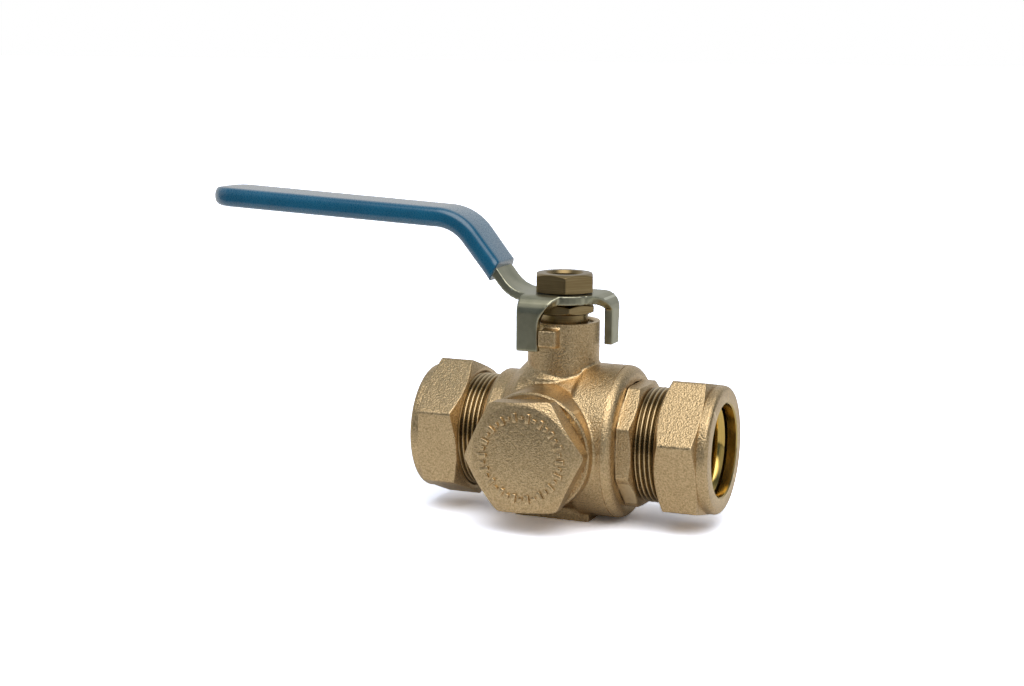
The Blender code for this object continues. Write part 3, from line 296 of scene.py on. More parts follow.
def zinc_steel():
    """Zinc-plated strip: grey with a yellow-green cast, faint rolling lines, worn edges."""
    material, tree, shader = finish("zinc_steel", 1.0)
    lines = noise(tree, 1500.0, 3.0, (0.05, 1.0, 0.05))
    clouds = noise(tree, 130.0, 5.0)
    pits = noise(tree, 1900.0, 2.0)
    tones = [(0.3, (0.34, 0.33, 0.22)), (0.5, (0.43, 0.415, 0.30)), (0.72, (0.31, 0.31, 0.22))]
    base = ramp(tree, clouds, tones)
    streaked = mixed(tree, levels(tree, lines, 0.0, 0.25), base, (0.25, 0.245, 0.17))
    colour = mixed(tree, edges_worn(tree), streaked, (0.66, 0.65, 0.52))
    rolled = bump(tree, lines, 0.03 * MM, 0.3)
    wire(tree, shader, colour, levels(tree, clouds, 0.26, 0.44), bump(tree, pits, 0.03 * MM, 0.25, rolled))
    return material


def dipped_vinyl():
    """Glossy blue dip with a faint orange peel and a little handling dust."""
    material, tree, shader = finish(
        "dipped_vinyl", 0.0, Coat_Weight=0.8, Coat_Roughness=0.06, IOR=1.52,
        Sheen_Weight=0.45, Sheen_Roughness=0.4, Sheen_Tint=(1.0, 0.84, 0.66, 1.0),
    )
    peel = noise(tree, 420.0, 3.0)
    dust = noise(tree, 2600.0, 2.0)
    clouds = noise(tree, 70.0, 4.0)
    base = ramp(tree, clouds, [(0.3, (0.0005, 0.10, 0.20)), (0.7, (0.001, 0.135, 0.26))])
    colour = mixed(tree, levels(tree, dust, 0.0, 0.025), base, (0.10, 0.16, 0.26))
    uneven = bump(tree, peel, 0.06 * MM, 0.2)
    wire(tree, shader, colour, levels(tree, dust, 0.2, 0.36), bump(tree, dust, 0.02 * MM, 0.2, uneven))
    return material


def plain_finish(name, metallic, dark, light, rough, grain, depth, strength=0.3):
    """Finish of a small inner part: a mottled tone, uneven gloss and a fine relief."""
    material, tree, shader = finish(name, metallic)
    spots = noise(tree, grain, 3.0)
    clouds = noise(tree, grain / 12, 4.0)
    colour = ramp(tree, clouds, [(0.3, dark), (0.7, light)])
    wire(tree, shader, colour, levels(tree, clouds, *rough), bump(tree, spots, depth, strength))
    return material


# ---------------------------------------------------------------- mesh tools


def piece(name, bm, material, sharp=None):
    """The object of a closed bmesh, faces outwards and smooth."""
    bmesh.ops.recalc_face_normals(bm, faces=bm.faces)
    mesh = bpy.data.meshes.new(name)
    bm.to_mesh(mesh)
    bm.free()
    mesh.shade_smooth()
    if sharp:
        mesh.set_sharp_from_angle(angle=math.radians(sharp))
    obj = bpy.data.objects.new(name, mesh)
    bpy.context.scene.collection.objects.link(obj)
    if material:
        mesh.materials.append(material)
    return obj


def through_rings(name, rings, material, ends="flat", sharp=None):
    """A solid through rings of points, its ends flat, or joined to each other for a tube's wall."""
    count = len(rings)
    around = len(rings[0])
    bm = bmesh.new()
    loops = [[bm.verts.new(point) for point in ring] for ring in rings]
    pairs = list(zip(loops, loops[1:]))
    if ends == "joined":
        pairs.append((loops[-1], loops[0]))
    for low, high in pairs:
        for i in range(around):
            j = (i + 1) % around
            bm.faces.new((low[i], low[j], high[j], high[i]))
    if ends == "flat":
        bm.faces.new(loops[0][::-1])
        bm.faces.new(loops[count - 1])
    bmesh.ops.remove_doubles(bm, verts=bm.verts, dist=1e-7)
    return piece(name, bm, material, sharp)


def flat_sided(angles, sides, flats, turn, easing=90):
    """Radius of a regular polygon at each angle, its first corner at the turn angle.

    Less easing makes rounder corners."""
    total = np.zeros_like(angles)
    for i in range(sides):
        normal = turn + math.pi / sides + 2 * math.pi * i / sides
        total += np.maximum(np.cos(angles - normal), 0) ** easing
    return flats / 2 / total ** (1 / easing)


def spaced(outline):
    """Adds points wherever the outline runs under the flats, so that the edge they make stays crisp."""
    step = 0.22 * MM
    out = []
    for a, b in zip(outline, outline[1:] + outline[:1]):
        under = len(a) > 2 and len(b) > 2
        pieces = max(1, math.ceil(math.dist(a[:2], b[:2]) / step)) if under else 1
        for k in range(pieces):
            mix = k / pieces
            out.append((a[0] + (b[0] - a[0]) * mix, a[1] + (b[1] - a[1]) * mix, len(a) > 2))
    return out


def turned(name, outline, material, axis="X", steps=FINE, flats=None, sharp=None):
    """A turned solid from (along, radius) points. A third value marks a point that the flats may cut."""
    on_axis = outline[0][1] == 0
    points = spaced(outline) if flats else [(p[0], p[1], False) for p in outline]
    angles = np.arange(steps) * 2 * math.pi / steps
    limit = flat_sided(angles, *flats) if flats else None
    blend = 150.0
    rings = []
    for along, radius, cut in points:
        reach = np.full(steps, max(radius, 0.0))
        if cut:
            reach = reach * (1 + (reach / limit) ** blend) ** (-1 / blend)
        ring = np.stack([np.full(steps, along), -reach * np.cos(angles), reach * np.sin(angles)], axis=1)
        rings.append([tuple(p) for p in ring])
    turn = Matrix.Translation((0, 0, CENTRE_Z)) @ AXIS_TURN[axis]
    moved = [[turn @ Vector(p) for p in ring] for ring in rings]
    return through_rings(name, moved, material, "open" if on_axis else "joined", sharp)


def arc(centre, radius, start, end, steps):
    """Outline points round a centre, between two angles in degrees."""
    points = []
    for i in range(steps + 1):
        a = math.radians(start + (end - start) * i / steps)
        points.append((centre[0] + radius * math.cos(a), centre[1] + radius * math.sin(a)))
    return points


def block(name, low, high):
    """A box between two corners, given from the ball's centre."""
    bm = bmesh.new()
    bmesh.ops.create_cube(bm, size=1)
    size = Vector(high) - Vector(low)
    middle = (Vector(high) + Vector(low)) / 2 + Vector((0, 0, CENTRE_Z))
    bm.transform(Matrix.Translation(middle) @ Matrix.Diagonal((*size, 1)))
    return piece(name, bm, None)


def joined(name, parts, material):
    """One object of several shells."""
    bm = bmesh.new()
    for part in parts:
        bm.from_mesh(part.data)
        bpy.data.objects.remove(part, do_unlink=True)
    return piece(name, bm, material)


def settle(obj):
    """Replaces an object's mesh with what its modifiers make of it, and removes them."""
    bpy.context.view_layer.update()
    graph = bpy.context.evaluated_depsgraph_get()
    mesh = bpy.data.meshes.new_from_object(obj.evaluated_get(graph), depsgraph=graph)
    old = obj.data
    obj.modifiers.clear()
    obj.data = mesh
    mesh.name = old.name
    return obj


def fused(obj, grain, rounds):
    """Runs overlapping shells into one skin with eased edges and small fillets, as a die leaves them."""
    remesh = obj.modifiers.new("skin", "REMESH")
    remesh.mode = "VOXEL"
    remesh.voxel_size = grain
    remesh.use_smooth_shade = True
    ease = obj.modifiers.new("ease", "SMOOTH")
    ease.factor = 0.5
    ease.iterations = rounds
    return settle(obj)


def machined(obj, cutters):
    """Cuts a fused skin with sharp tools."""
    for cutter in cutters:
        cut = obj.modifiers.new(cutter.name, "BOOLEAN")
        cut.operation = "DIFFERENCE"
        cut.solver = "MANIFOLD"
        cut.object = cutter
    settle(obj)
    for cutter in cutters:
        bpy.data.objects.remove(cutter, do_unlink=True)
    obj.data.shade_smooth()
    obj.data.set_sharp_from_angle(angle=math.radians(35))
    return obj


# ---------------------------------------------------------------- geometry node trees


def new_tree(name, inputs):
    """A geometry tree with named inputs: (name, socket kind, start value)."""
    tree = bpy.data.node_groups.new(name, "GeometryNodeTree")
    tree.interface.new_socket("Geometry", in_out="OUTPUT", socket_type="NodeSocketGeometry")
    for label, kind, value in inputs:
        socket = tree.interface.new_socket(label, in_out="INPUT", socket_type=kind)
        if value is not None:
            socket.default_value = value
    return tree, tree.nodes.new("NodeGroupInput"), tree.nodes.new("NodeGroupOutput")


def maths(tree, operation, *values):
    """A math node on sockets and numbers."""
    made = tree.nodes.new("ShaderNodeMath")
    made.operation = operation
    for socket, value in zip(made.inputs, values):
        if isinstance(value, (int, float)):
            socket.default_value = value
        else:
            tree.links.new(value, socket)
    return made.outputs[0]


def run_tree(name, tree, values, material):
    """Runs a geometry tree once and keeps its result as a plain mesh."""
    obj = bpy.data.objects.new(name, bpy.data.meshes.new(name))
    bpy.context.scene.collection.objects.link(obj)
    modifier = obj.modifiers.new("shape", "NODES")
    modifier.node_group = tree
    for item in tree.interface.items_tree:
        if item.in_out == "INPUT" and item.name in values:
            modifier[item.identifier] = values[item.name]
        elif item.in_out == "INPUT" and item.name == "Material":
            modifier[item.identifier] = material
    settle(obj)
    return obj


def outward(obj):
    """Welds a mesh and turns its faces outwards."""
    bm = bmesh.new()
    bm.from_mesh(obj.data)
    bmesh.ops.remove_doubles(bm, verts=bm.verts, dist=1e-7)
    bmesh.ops.recalc_face_normals(bm, faces=bm.faces)
    bm.to_mesh(obj.data)
    bm.free()
    return obj


def thread_tree():
    """A ring along X whose outside carries a right-hand thread that runs out at its free end."""
    tree, given, result = new_tree(
        "cut_thread",
        [
            ("Start", "NodeSocketFloat", 0.0),
            ("Length", "NodeSocketFloat", 0.01),
            ("Pitch", "NodeSocketFloat", PITCH),
            ("Root", "NodeSocketFloat", THREAD_ROOT),
            ("Crest", "NodeSocketFloat", THREAD_CREST),
            ("Inside", "NodeSocketFloat", THREAD_CORE),
            ("Height", "NodeSocketFloat", CENTRE_Z),
            ("Around", "NodeSocketInt", 240),
            ("Rows", "NodeSocketInt", 140),
            ("Material", "NodeSocketMaterial", None),
        ],
    )
    give = given.outputs
    grid = tree.nodes.new("GeometryNodeMeshGrid")
    grid.inputs["Size X"].default_value = 1.0
    grid.inputs["Size Y"].default_value = 1.0
    tree.links.new(give["Around"], grid.inputs["Vertices X"])
    tree.links.new(give["Rows"], grid.inputs["Vertices Y"])
    position = tree.nodes.new("GeometryNodeInputPosition")
    split = tree.nodes.new("ShaderNodeSeparateXYZ")
    tree.links.new(position.outputs[0], split.inputs[0])
    turn = maths(tree, "ADD", split.outputs["X"], 0.5)
    across = maths(tree, "ADD", split.outputs["Y"], 0.5)
    last = maths(tree, "SUBTRACT", give["Rows"], 1.0)
    row = maths(tree, "MULTIPLY", across, last)
    # Rows 0 and the last lie on the inner start edge, and the one before the last on the inner end edge.
    is_first = maths(tree, "LESS_THAN", row, 0.5)
    is_last = maths(tree, "GREATER_THAN", row, maths(tree, "SUBTRACT", last, 0.5))
    is_inner_end = maths(tree, "GREATER_THAN", row, maths(tree, "SUBTRACT", last, 1.5))
    inner = maths(tree, "MAXIMUM", is_first, is_inner_end)
    raw = maths(tree, "DIVIDE", maths(tree, "SUBTRACT", row, 1.0), maths(tree, "SUBTRACT", last, 3.0))
    share = maths(tree, "MINIMUM", maths(tree, "MAXIMUM", raw, 0.0), 1.0)
    placed = maths(tree, "MULTIPLY", share, maths(tree, "SUBTRACT", 1.0, is_last))
    along = maths(tree, "MULTIPLY_ADD", placed, give["Length"], give["Start"])
    phase = maths(tree, "SUBTRACT", maths(tree, "DIVIDE", along, give["Pitch"]), turn)
    saw = maths(tree, "ABSOLUTE", maths(tree, "MULTIPLY_ADD", maths(tree, "FRACT", phase), 2.0, -1.0))
    steep = maths(tree, "MULTIPLY_ADD", saw, 1.35, -0.15)
    wave = maths(tree, "MINIMUM", maths(tree, "MAXIMUM", steep, 0.0), 1.0)
    ends = maths(tree, "MULTIPLY", share, maths(tree, "SUBTRACT", 1.0, share))
    fade = maths(tree, "MINIMUM", maths(tree, "MULTIPLY", ends, 14.0), 1.0)
    depth = maths(tree, "SUBTRACT", give["Crest"], give["Root"])
    outer = maths(tree, "MULTIPLY_ADD", maths(tree, "MULTIPLY", wave, fade), depth, give["Root"])
    drop = maths(tree, "SUBTRACT", give["Inside"], outer)
    radius = maths(tree, "MULTIPLY_ADD", inner, drop, outer)
    angle = maths(tree, "MULTIPLY", turn, 2 * math.pi)
    y = maths(tree, "MULTIPLY", radius, maths(tree, "COSINE", angle))
    z = maths(tree, "MULTIPLY_ADD", radius, maths(tree, "SINE", angle), give["Height"])
    combine = tree.nodes.new("ShaderNodeCombineXYZ")
    for socket, value in zip(combine.inputs, (along, y, z)):
        tree.links.new(value, socket)
    place = tree.nodes.new("GeometryNodeSetPosition")
    weld = tree.nodes.new("GeometryNodeMergeByDistance")
    weld.inputs["Distance"].default_value = 1e-6
    smooth = tree.nodes.new("GeometryNodeSetShadeSmooth")
    real = tree.nodes.new("GeometryNodeRealizeInstances")
    paint = tree.nodes.new("GeometryNodeSetMaterial")
    tree.links.new(grid.outputs["Mesh"], place.inputs["Geometry"])
    tree.links.new(combine.outputs[0], place.inputs["Position"])
    chain = [place, weld, smooth, real, paint, result]
    for a, b in zip(chain, chain[1:]):
        tree.links.new(a.outputs[0], b.inputs[0])
    tree.links.new(give["Material"], paint.inputs["Material"])
    return tree


def dash_tree():
    """A ring of raised rounded dashes on a face that looks along -Y."""
    tree, given, result = new_tree(
        "raised_dashes",
        [
            ("Count", "NodeSocketInt", 30),
            ("Ring radius", "NodeSocketFloat", 0.012),
            ("Face", "NodeSocketFloat", 0.0),
            ("Height", "NodeSocketFloat", CENTRE_Z),
            ("Size", "NodeSocketVector", (0.001, 0.001, 0.001)),
            ("Spread", "NodeSocketFloat", 0.3),
            ("Short", "NodeSocketFloat", 0.5),
            ("Material", "NodeSocketMaterial", None),
        ],
    )
    give = given.outputs
    circle = tree.nodes.new("GeometryNodeMeshCircle")
    tree.links.new(give["Count"], circle.inputs["Vertices"])
    tree.links.new(give["Ring radius"], circle.inputs["Radius"])
    ball = tree.nodes.new("GeometryNodeMeshIcoSphere")
    ball.inputs["Radius"].default_value = 1.0
    ball.inputs["Subdivisions"].default_value = 4
    spot = tree.nodes.new("GeometryNodeInputPosition")
    flat = node(tree, "ShaderNodeVectorMath", operation="ABSOLUTE")
    tree.links.new(spot.outputs[0], flat.inputs[0])
    sides = tree.nodes.new("ShaderNodeSeparateXYZ")
    tree.links.new(flat.outputs[0], sides.inputs[0])
    across = maths(tree, "MAXIMUM", sides.outputs["Y"], sides.outputs["Z"])
    longest = maths(tree, "MAXIMUM", sides.outputs["X"], across)
    square = node(tree, "ShaderNodeVectorMath", operation="SCALE")
    tree.links.new(spot.outputs[0], square.inputs[0])
    tree.links.new(maths(tree, "POWER", longest, -0.75), square.inputs["Scale"])
    bar = tree.nodes.new("GeometryNodeSetPosition")
    tree.links.new(ball.outputs[0], bar.inputs["Geometry"])
    tree.links.new(square.outputs[0], bar.inputs["Position"])
    index = tree.nodes.new("GeometryNodeInputIndex")
    share = maths(tree, "DIVIDE", index.outputs[0], give["Count"])
    spin = maths(tree, "MULTIPLY", share, 2 * math.pi)
    chance = tree.nodes.new("FunctionNodeRandomValue")
    chance.data_type = "FLOAT"
    random_sockets = [s for s in chance.inputs if s.enabled]
    random_sockets[0].default_value = 0.0
    random_sockets[1].default_value = 1.0
    random_sockets[-1].default_value = 7
    value = [s for s in chance.outputs if s.enabled][0]
    wide = maths(tree, "MULTIPLY_ADD", value, give["Spread"], 1.0)
    odd = maths(tree, "MODULO", index.outputs[0], 2.0)
    cut_back = maths(tree, "MULTIPLY_ADD", odd, give["Short"], maths(tree, "MULTIPLY", value, give["Spread"]))
    long = maths(tree, "SUBTRACT", 1.0, cut_back)
    split = tree.nodes.new("ShaderNodeSeparateXYZ")
    tree.links.new(give["Size"], split.inputs[0])
    scale = tree.nodes.new("ShaderNodeCombineXYZ")
    tree.links.new(maths(tree, "MULTIPLY", split.outputs["X"], long), scale.inputs["X"])
    tree.links.new(maths(tree, "MULTIPLY", split.outputs["Y"], wide), scale.inputs["Y"])
    tree.links.new(split.outputs["Z"], scale.inputs["Z"])
    turn = tree.nodes.new("ShaderNodeCombineXYZ")
    tree.links.new(spin, turn.inputs["Z"])
    put = tree.nodes.new("GeometryNodeInstanceOnPoints")
    tree.links.new(circle.outputs[0], put.inputs["Points"])
    tree.links.new(bar.outputs[0], put.inputs["Instance"])
    tree.links.new(turn.outputs[0], put.inputs["Rotation"])
    tree.links.new(scale.outputs[0], put.inputs["Scale"])
    real = tree.nodes.new("GeometryNodeRealizeInstances")
    stand = tree.nodes.new("GeometryNodeTransform")
    stand.inputs["Rotation"].default_value = (math.pi / 2, 0, 0)
    shift = tree.nodes.new("ShaderNodeCombineXYZ")
    tree.links.new(give["Face"], shift.inputs["Y"])
    tree.links.new(give["Height"], shift.inputs["Z"])
    tree.links.new(shift.outputs[0], stand.inputs["Translation"])
    smooth = tree.nodes.new("GeometryNodeSetShadeSmooth")
    again = tree.nodes.new("GeometryNodeRealizeInstances")
    paint = tree.nodes.new("GeometryNodeSetMaterial")
    chain = [put, real, stand, smooth, again, paint, result]
    for a, b in zip(chain, chain[1:]):
        tree.links.new(a.outputs[0], b.inputs[0])
    tree.links.new(give["Material"], paint.inputs["Material"])
    return tree


# ---------------------------------------------------------------- pieces


def casting(material):
    """The forged body: barrel, left collar, neck with its web, stop lug, port boss and foot."""
    left_end = -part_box("valve_body")[0][0]
    core = [
        (-left_end - MM, 0),
        (-left_end - MM, THREAD_CORE),
        (-COLLAR_X - 0.4 * MM, THREAD_CORE),
        (-COLLAR_X, COLLAR_R - 1.5 * MM),
        (-COLLAR_X + 1.4 * MM, COLLAR_R),
        (-14.3 * MM, COLLAR_R),
    ]
    core += [(-10.2 * MM, CENTRE_R), (8.3 * MM, CENTRE_R), (9.6 * MM, BODY_R)]
    core += arc((BODY_END - 3.2 * MM, BODY_R - 3.2 * MM), 3.2 * MM, 90, 0, 8)
    core.append((BODY_END, 0))
    fillet = 1.5 * MM
    foot_z = math.sqrt(CENTRE_R**2 - (NECK_R + fillet) ** 2)
    neck = [(8 * MM, 0), (8 * MM, NECK_R + fillet)]
    neck += arc((foot_z + fillet, NECK_R + fillet), fillet, 180, 270, 8)
    neck += [(NECK_TOP + MM, NECK_R), (NECK_TOP + MM, 0)]
    web = [
        (11.7 * MM, 0),
        (11.7 * MM, WEB_R),
        (19.7 * MM, WEB_R),
        (23.3 * MM, 8.9 * MM),
        (23.3 * MM, 0),
    ]
    boss = [(6 * MM, 0), (6 * MM, BOSS_R), (BOSS_FACE - 0.7 * MM, BOSS_R)]
    boss += [(BOSS_FACE, BOSS_R - 0.7 * MM), (BOSS_FACE + MM, BOSS_R - 0.7 * MM), (BOSS_FACE + MM, 0)]
    shells = [
        turned("core", core, None),
        turned("neck", neck, None, "Z"),
        turned("web", web, None, "Z"),
        turned("boss", boss, None, "-Y"),
        block("lug", (-2.8 * MM, -15 * MM, 29.8 * MM), (2.8 * MM, -8 * MM, 35 * MM)),
        block("foot", (-12.2 * MM, -9.2 * MM, -25.3 * MM), (12.2 * MM, 9.2 * MM, -17 * MM)),
    ]
    shells[2].data.transform(Matrix.Translation((-2.3 * MM, 0, 0)))
    body = fused(joined("casting", shells, material), CAST_GRAIN, 5)
    port = THREAD_CREST + 0.3 * MM
    waterway = [
        (BODY_END + MM, 0),
        (BODY_END + MM, SEAL_BORE_R),
        (8.5 * MM, SEAL_BORE_R),
        (8.5 * MM, CAVITY_R),
        (-2.5 * MM, CAVITY_R),
        (-8 * MM, SEAT_POCKET_R),
        (-SEAT_LEDGE_X, SEAT_POCKET_R),
        (-SEAT_LEDGE_X, PORT_R),
        (-TUBE_STOP_X, PORT_R),
        (-TUBE_STOP_X, SOCKET_R),
        (-left_end + CONE_DEPTH, SOCKET_R),
        (-left_end, SOCKET_R + CONE_SPREAD),
        (-left_end, port),
        (-left_end - 3 * MM, port),
        (-left_end - 3 * MM, 0),
    ]
    bore = [
        (0, 0),
        (0, STEM_FOOT_R),
        (22.4 * MM, STEM_FOOT_R),
        (22.4 * MM, STEM_BORE_R),
        (27.6 * MM, STEM_BORE_R),
        (27.6 * MM, PACKING_BORE_R),
        (NECK_TOP - 0.5 * MM, PACKING_BORE_R),
        (NECK_TOP, PACKING_BORE_R + 0.5 * MM),
        (NECK_TOP, 14 * MM),
        (NECK_TOP + 3 * MM, 14 * MM),
        (NECK_TOP + 3 * MM, 0),
    ]
    front = [
        (0, 0),
        (0, FRONT_PORT_R),
        (19.2 * MM, FRONT_PORT_R),
        (19.2 * MM, CAP_BORE_R),
        (24.8 * MM, CAP_BORE_R),
        (24.8 * MM, CAP_BORE_R + 0.5 * MM),
        (BOSS_FACE, CAP_BORE_R + 0.5 * MM),
        (BOSS_FACE, 22 * MM),
        (BOSS_FACE + 3 * MM, 22 * MM),
        (BOSS_FACE + 3 * MM, 0),
    ]
    line = BODY_END - 3.3 * MM
    groove = [(line, BODY_R - 0.22 * MM), (line + 0.35 * MM, BODY_R - 0.22 * MM)]
    groove += [(line + 0.35 * MM, BODY_R + MM), (line, BODY_R + MM)]
    under = block("under", (-20 * MM, -20 * MM, -30 * MM), (20 * MM, 20 * MM, -24.3 * MM))
    tools = [
        turned("waterway", waterway, None, steps=96),
        turned("stem_bore", bore, None, "Z", 96),
        turned("front_port", front, None, "-Y", 96),
        turned("groove", groove, None, steps=120),
        under,
    ]
    return machined(body, tools)


def adapter(material):
    """The right end: a plug that screws into the body, spanner flats, then the thread's core."""
    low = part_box("end_adapter")[0][0]
    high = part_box("end_adapter")[1][0]
    flange = BODY_END + 0.3 * MM
    root = flange + 4.7 * MM
    wide = 20.6 * MM
    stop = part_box("right_nut")[1][0] - 23 * MM
    plug = SEAL_BORE_R - 0.35 * MM
    outline = [
        (low, SEAT_POCKET_R),
        (low, plug),
        (BODY_END - 0.6 * MM, plug),
        (BODY_END, 18.1 * MM),
        (flange, 18.1 * MM, 1),
        (flange, wide, 1),
        (root - 1.5 * MM, wide, 1),
        (root, SPANNER_FLATS / 2 - 0.5 * MM, 1),
        (root, THREAD_CORE),
        (high, THREAD_CORE),
        (high, SOCKET_R + CONE_SPREAD),
        (high - CONE_DEPTH, SOCKET_R),
        (stop, SOCKET_R),
        (stop, PORT_R),
        (SEAT_LEDGE_X, PORT_R),
        (SEAT_LEDGE_X, SEAT_POCKET_R),
    ]
    flats = (8, SPANNER_FLATS, math.radians(22.5))
    return turned("adapter", outline, material, steps=HEX_FINE, flats=flats, sharp=40)


def compression_nut(name, cad, side, turn, material):
    """Hexagon with a round collar, bored for the tube. Side is 1 to the right and -1 to the left."""
    lo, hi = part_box(cad)
    low, high = sorted((abs(lo[0]), abs(hi[0])))
    wide = NUT_FLATS / math.sqrt(3) + 0.05 * MM
    collar = NUT_FLATS / 2 - 0.15 * MM
    thread = THREAD_CREST + 0.1 * MM
    edge = 1.5 * MM
    outline = [
        (low, thread + 0.6 * MM),
        (low, collar - 0.3 * MM, 1),
        (low + 1.9 * MM, wide, 1),
        (high - 4.2 * MM, wide, 1),
        (high - 3.2 * MM, collar, 1),
    ]
    outline += arc((high - edge, collar - edge), edge, 90, 0, 8)
    outline += [
        (high, SOCKET_R + 0.35 * MM),
        (high - 0.35 * MM, SOCKET_R),
        (high - 3 * MM, SOCKET_R),
        (high - 5.3 * MM, SOCKET_R + 2.3 * MM),
        (high - 5.8 * MM, SOCKET_R + 2.3 * MM),
        (high - 5.8 * MM, thread),
        (low + 0.6 * MM, thread),
    ]
    outline = [(side * p[0], *p[1:]) for p in outline]
    return turned(name, outline, material, steps=HEX_FINE, flats=(6, NUT_FLATS, turn), sharp=40)


def olive(name, cad, side, material):
    """Soft compression ring, domed outside."""
    lo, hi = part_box(cad)
    low, high = sorted((abs(lo[0]), abs(hi[0])))
    top = (hi[2] - lo[2]) / 2
    lip = SOCKET_R + 0.25 * MM
    outline = [(low, SOCKET_R), (low, lip)]
    for k in range(1, 12):
        swell = math.sin(math.pi * k / 12)
        outline.append((low + (high - low) * k / 12, lip + (top - lip) * swell))
    outline += [(high, lip), (high, SOCKET_R)]
    return turned(name, [(side * a, r) for a, r in outline], material)


def cap(material):
    """Domed hexagon over the front port, with a threaded plug behind it."""
    lo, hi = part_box("filter_cap")
    face = -lo[1]
    back = BOSS_FACE + 0.3 * MM
    end = -hi[1]
    wide = CAP_FLATS / math.sqrt(3) + 0.05 * MM
    outline = [
        (face - 3.4 * MM, 0),
        (face - 3.4 * MM, 12 * MM),
        (end, 12 * MM),
        (end, 14.4 * MM),
        (end + 0.6 * MM, 15 * MM),
        (back - 2.2 * MM, 15 * MM),
        (back - 2.2 * MM, 13.55 * MM),
        (back, 13.55 * MM),
        (back, 16.2 * MM),
        (back + 0.6 * MM, 16.4 * MM, 1),
        (back + 1.6 * MM, wide, 1),
        (face - 2.0 * MM, wide, 1),
        (face - 0.12 * MM, 15.85 * MM, 1),
        (face, 15.4 * MM, 1),
        (face, 0),
    ]
    flats = (6, CAP_FLATS, CAP_TURN, CAP_EASING)
    return turned("cap", outline, material, "-Y", HEX_FINE, flats, sharp=40)


def gland(material):
    """Low hexagon that presses the packing into the neck."""
    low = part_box("gland_nut")[0][2] - CENTRE_Z
    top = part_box("gland_nut")[1][2] - CENTRE_Z
    bore = 6.3 * MM
    wide = GLAND_FLATS / math.sqrt(3) + 0.05 * MM
    hexagon = top - 3.2 * MM
    outline = [
        (low, bore),
        (low, 8.8 * MM),
        (NECK_TOP - MM, 8.8 * MM),
        (NECK_TOP - MM, 7.4 * MM),
        (hexagon, 7.4 * MM),
        (hexagon, 7.9 * MM, 1),
        (hexagon + 0.9 * MM, wide, 1),
        (top - 0.8 * MM, wide, 1),
        (top, GLAND_FLATS / 2 - 0.4 * MM, 1),
        (top, bore),
    ]
    flats = (6, GLAND_FLATS, GLAND_TURN)
    return turned("gland", outline, material, "Z", HEX_FINE, flats, sharp=40)


def top_nut(material):
    """Nut that clamps the lever, open at the top so that its thread shows."""
    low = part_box("lever_nut")[0][2] - CENTRE_Z
    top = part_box("lever_nut")[1][2] - CENTRE_Z
    bore = 5.0 * MM
    wide = LEVER_NUT_FLATS / math.sqrt(3) + 0.05 * MM
    outline = [
        (low, bore),
        (low, 8.4 * MM, 1),
        (low + 0.25 * MM, wide, 1),
        (top - 0.8 * MM, wide, 1),
        (top, LEVER_NUT_FLATS / 2 - 0.3 * MM, 1),
        (top, bore + 0.9 * MM),
        (top - 0.9 * MM, bore),
    ]
    # Two full threads show in the open end.
    for i in range(3):
        turn = top - 0.9 * MM - (i + 0.5) * 1.25 * MM
        outline += [(turn, bore + 0.35 * MM), (turn - 0.62 * MM, bore)]
    flats = (6, LEVER_NUT_FLATS, LEVER_NUT_TURN)
    return turned("top_nut", outline, material, "Z", HEX_FINE, flats, sharp=40)


def lever_steel(material):
    """The stamped lever, its edges eased by tumbling."""
    bm = bmesh.new()
    bm.from_mesh(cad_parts["lever"].data)
    bmesh.ops.remove_doubles(bm, verts=bm.verts, dist=1e-6)
    mesh = bpy.data.meshes.new("lever_steel")
    bm.to_mesh(mesh)
    bm.free()
    obj = bpy.data.objects.new("lever_steel", mesh)
    bpy.context.scene.collection.objects.link(obj)
    fused(obj, 0.3 * MM, 5)
    obj.data.materials.clear()
    obj.data.materials.append(material)
    obj.data.shade_smooth()
    return obj


def bent_path(points, radii, steps):
    """(place, direction) along straight runs through points, with an arc of each radius at each inner one."""
    out = []
    for i, here in enumerate(points):
        if i in (0, len(points) - 1):
            a, b = (points[0], points[1]) if i == 0 else (points[-2], points[-1])
            out.append((Vector(here), (Vector(b) - Vector(a)).normalized()))
            continue
        before = math.atan2(here[1] - points[i - 1][1], here[0] - points[i - 1][0])
        after = math.atan2(points[i + 1][1] - here[1], points[i + 1][0] - here[0])
        turn = (after - before + math.pi) % (2 * math.pi) - math.pi
        side = math.copysign(radii[i - 1], turn)
        run = radii[i - 1] * math.tan(abs(turn) / 2)
        start = Vector(here) - run * Vector((math.cos(before), math.sin(before)))
        centre = start + side * Vector((-math.sin(before), math.cos(before)))
        for k in range(steps + 1):
            a = before + turn * k / steps
            place = centre + side * Vector((math.sin(a), -math.cos(a)))
            out.append((place, Vector((math.cos(a), math.sin(a)))))
    return out


def closely(path, longest):
    """The path with places added so that no run is longer than the given length."""
    out = [path[0]]
    for (a, _), (b, heading) in zip(path, path[1:]):
        pieces = max(1, math.ceil((b - a).length / longest))
        for k in range(1, pieces):
            out.append((a.lerp(b, k / pieces), (b - a).normalized()))
        out.append((b, heading))
    return out


def half_width(x):
    """Half width of the steel at a distance along -X."""
    places = [ARM_START, SLEEVE_START, 2 * SLEEVE_START, 122 * MM]
    middle = (ARM_HALF_WIDTH + GRIP_HALF_WIDTH) / 2
    widths = [ARM_HALF_WIDTH + 0.9 * MM, ARM_HALF_WIDTH, middle, GRIP_HALF_WIDTH]
    return float(np.interp(x, places, widths))


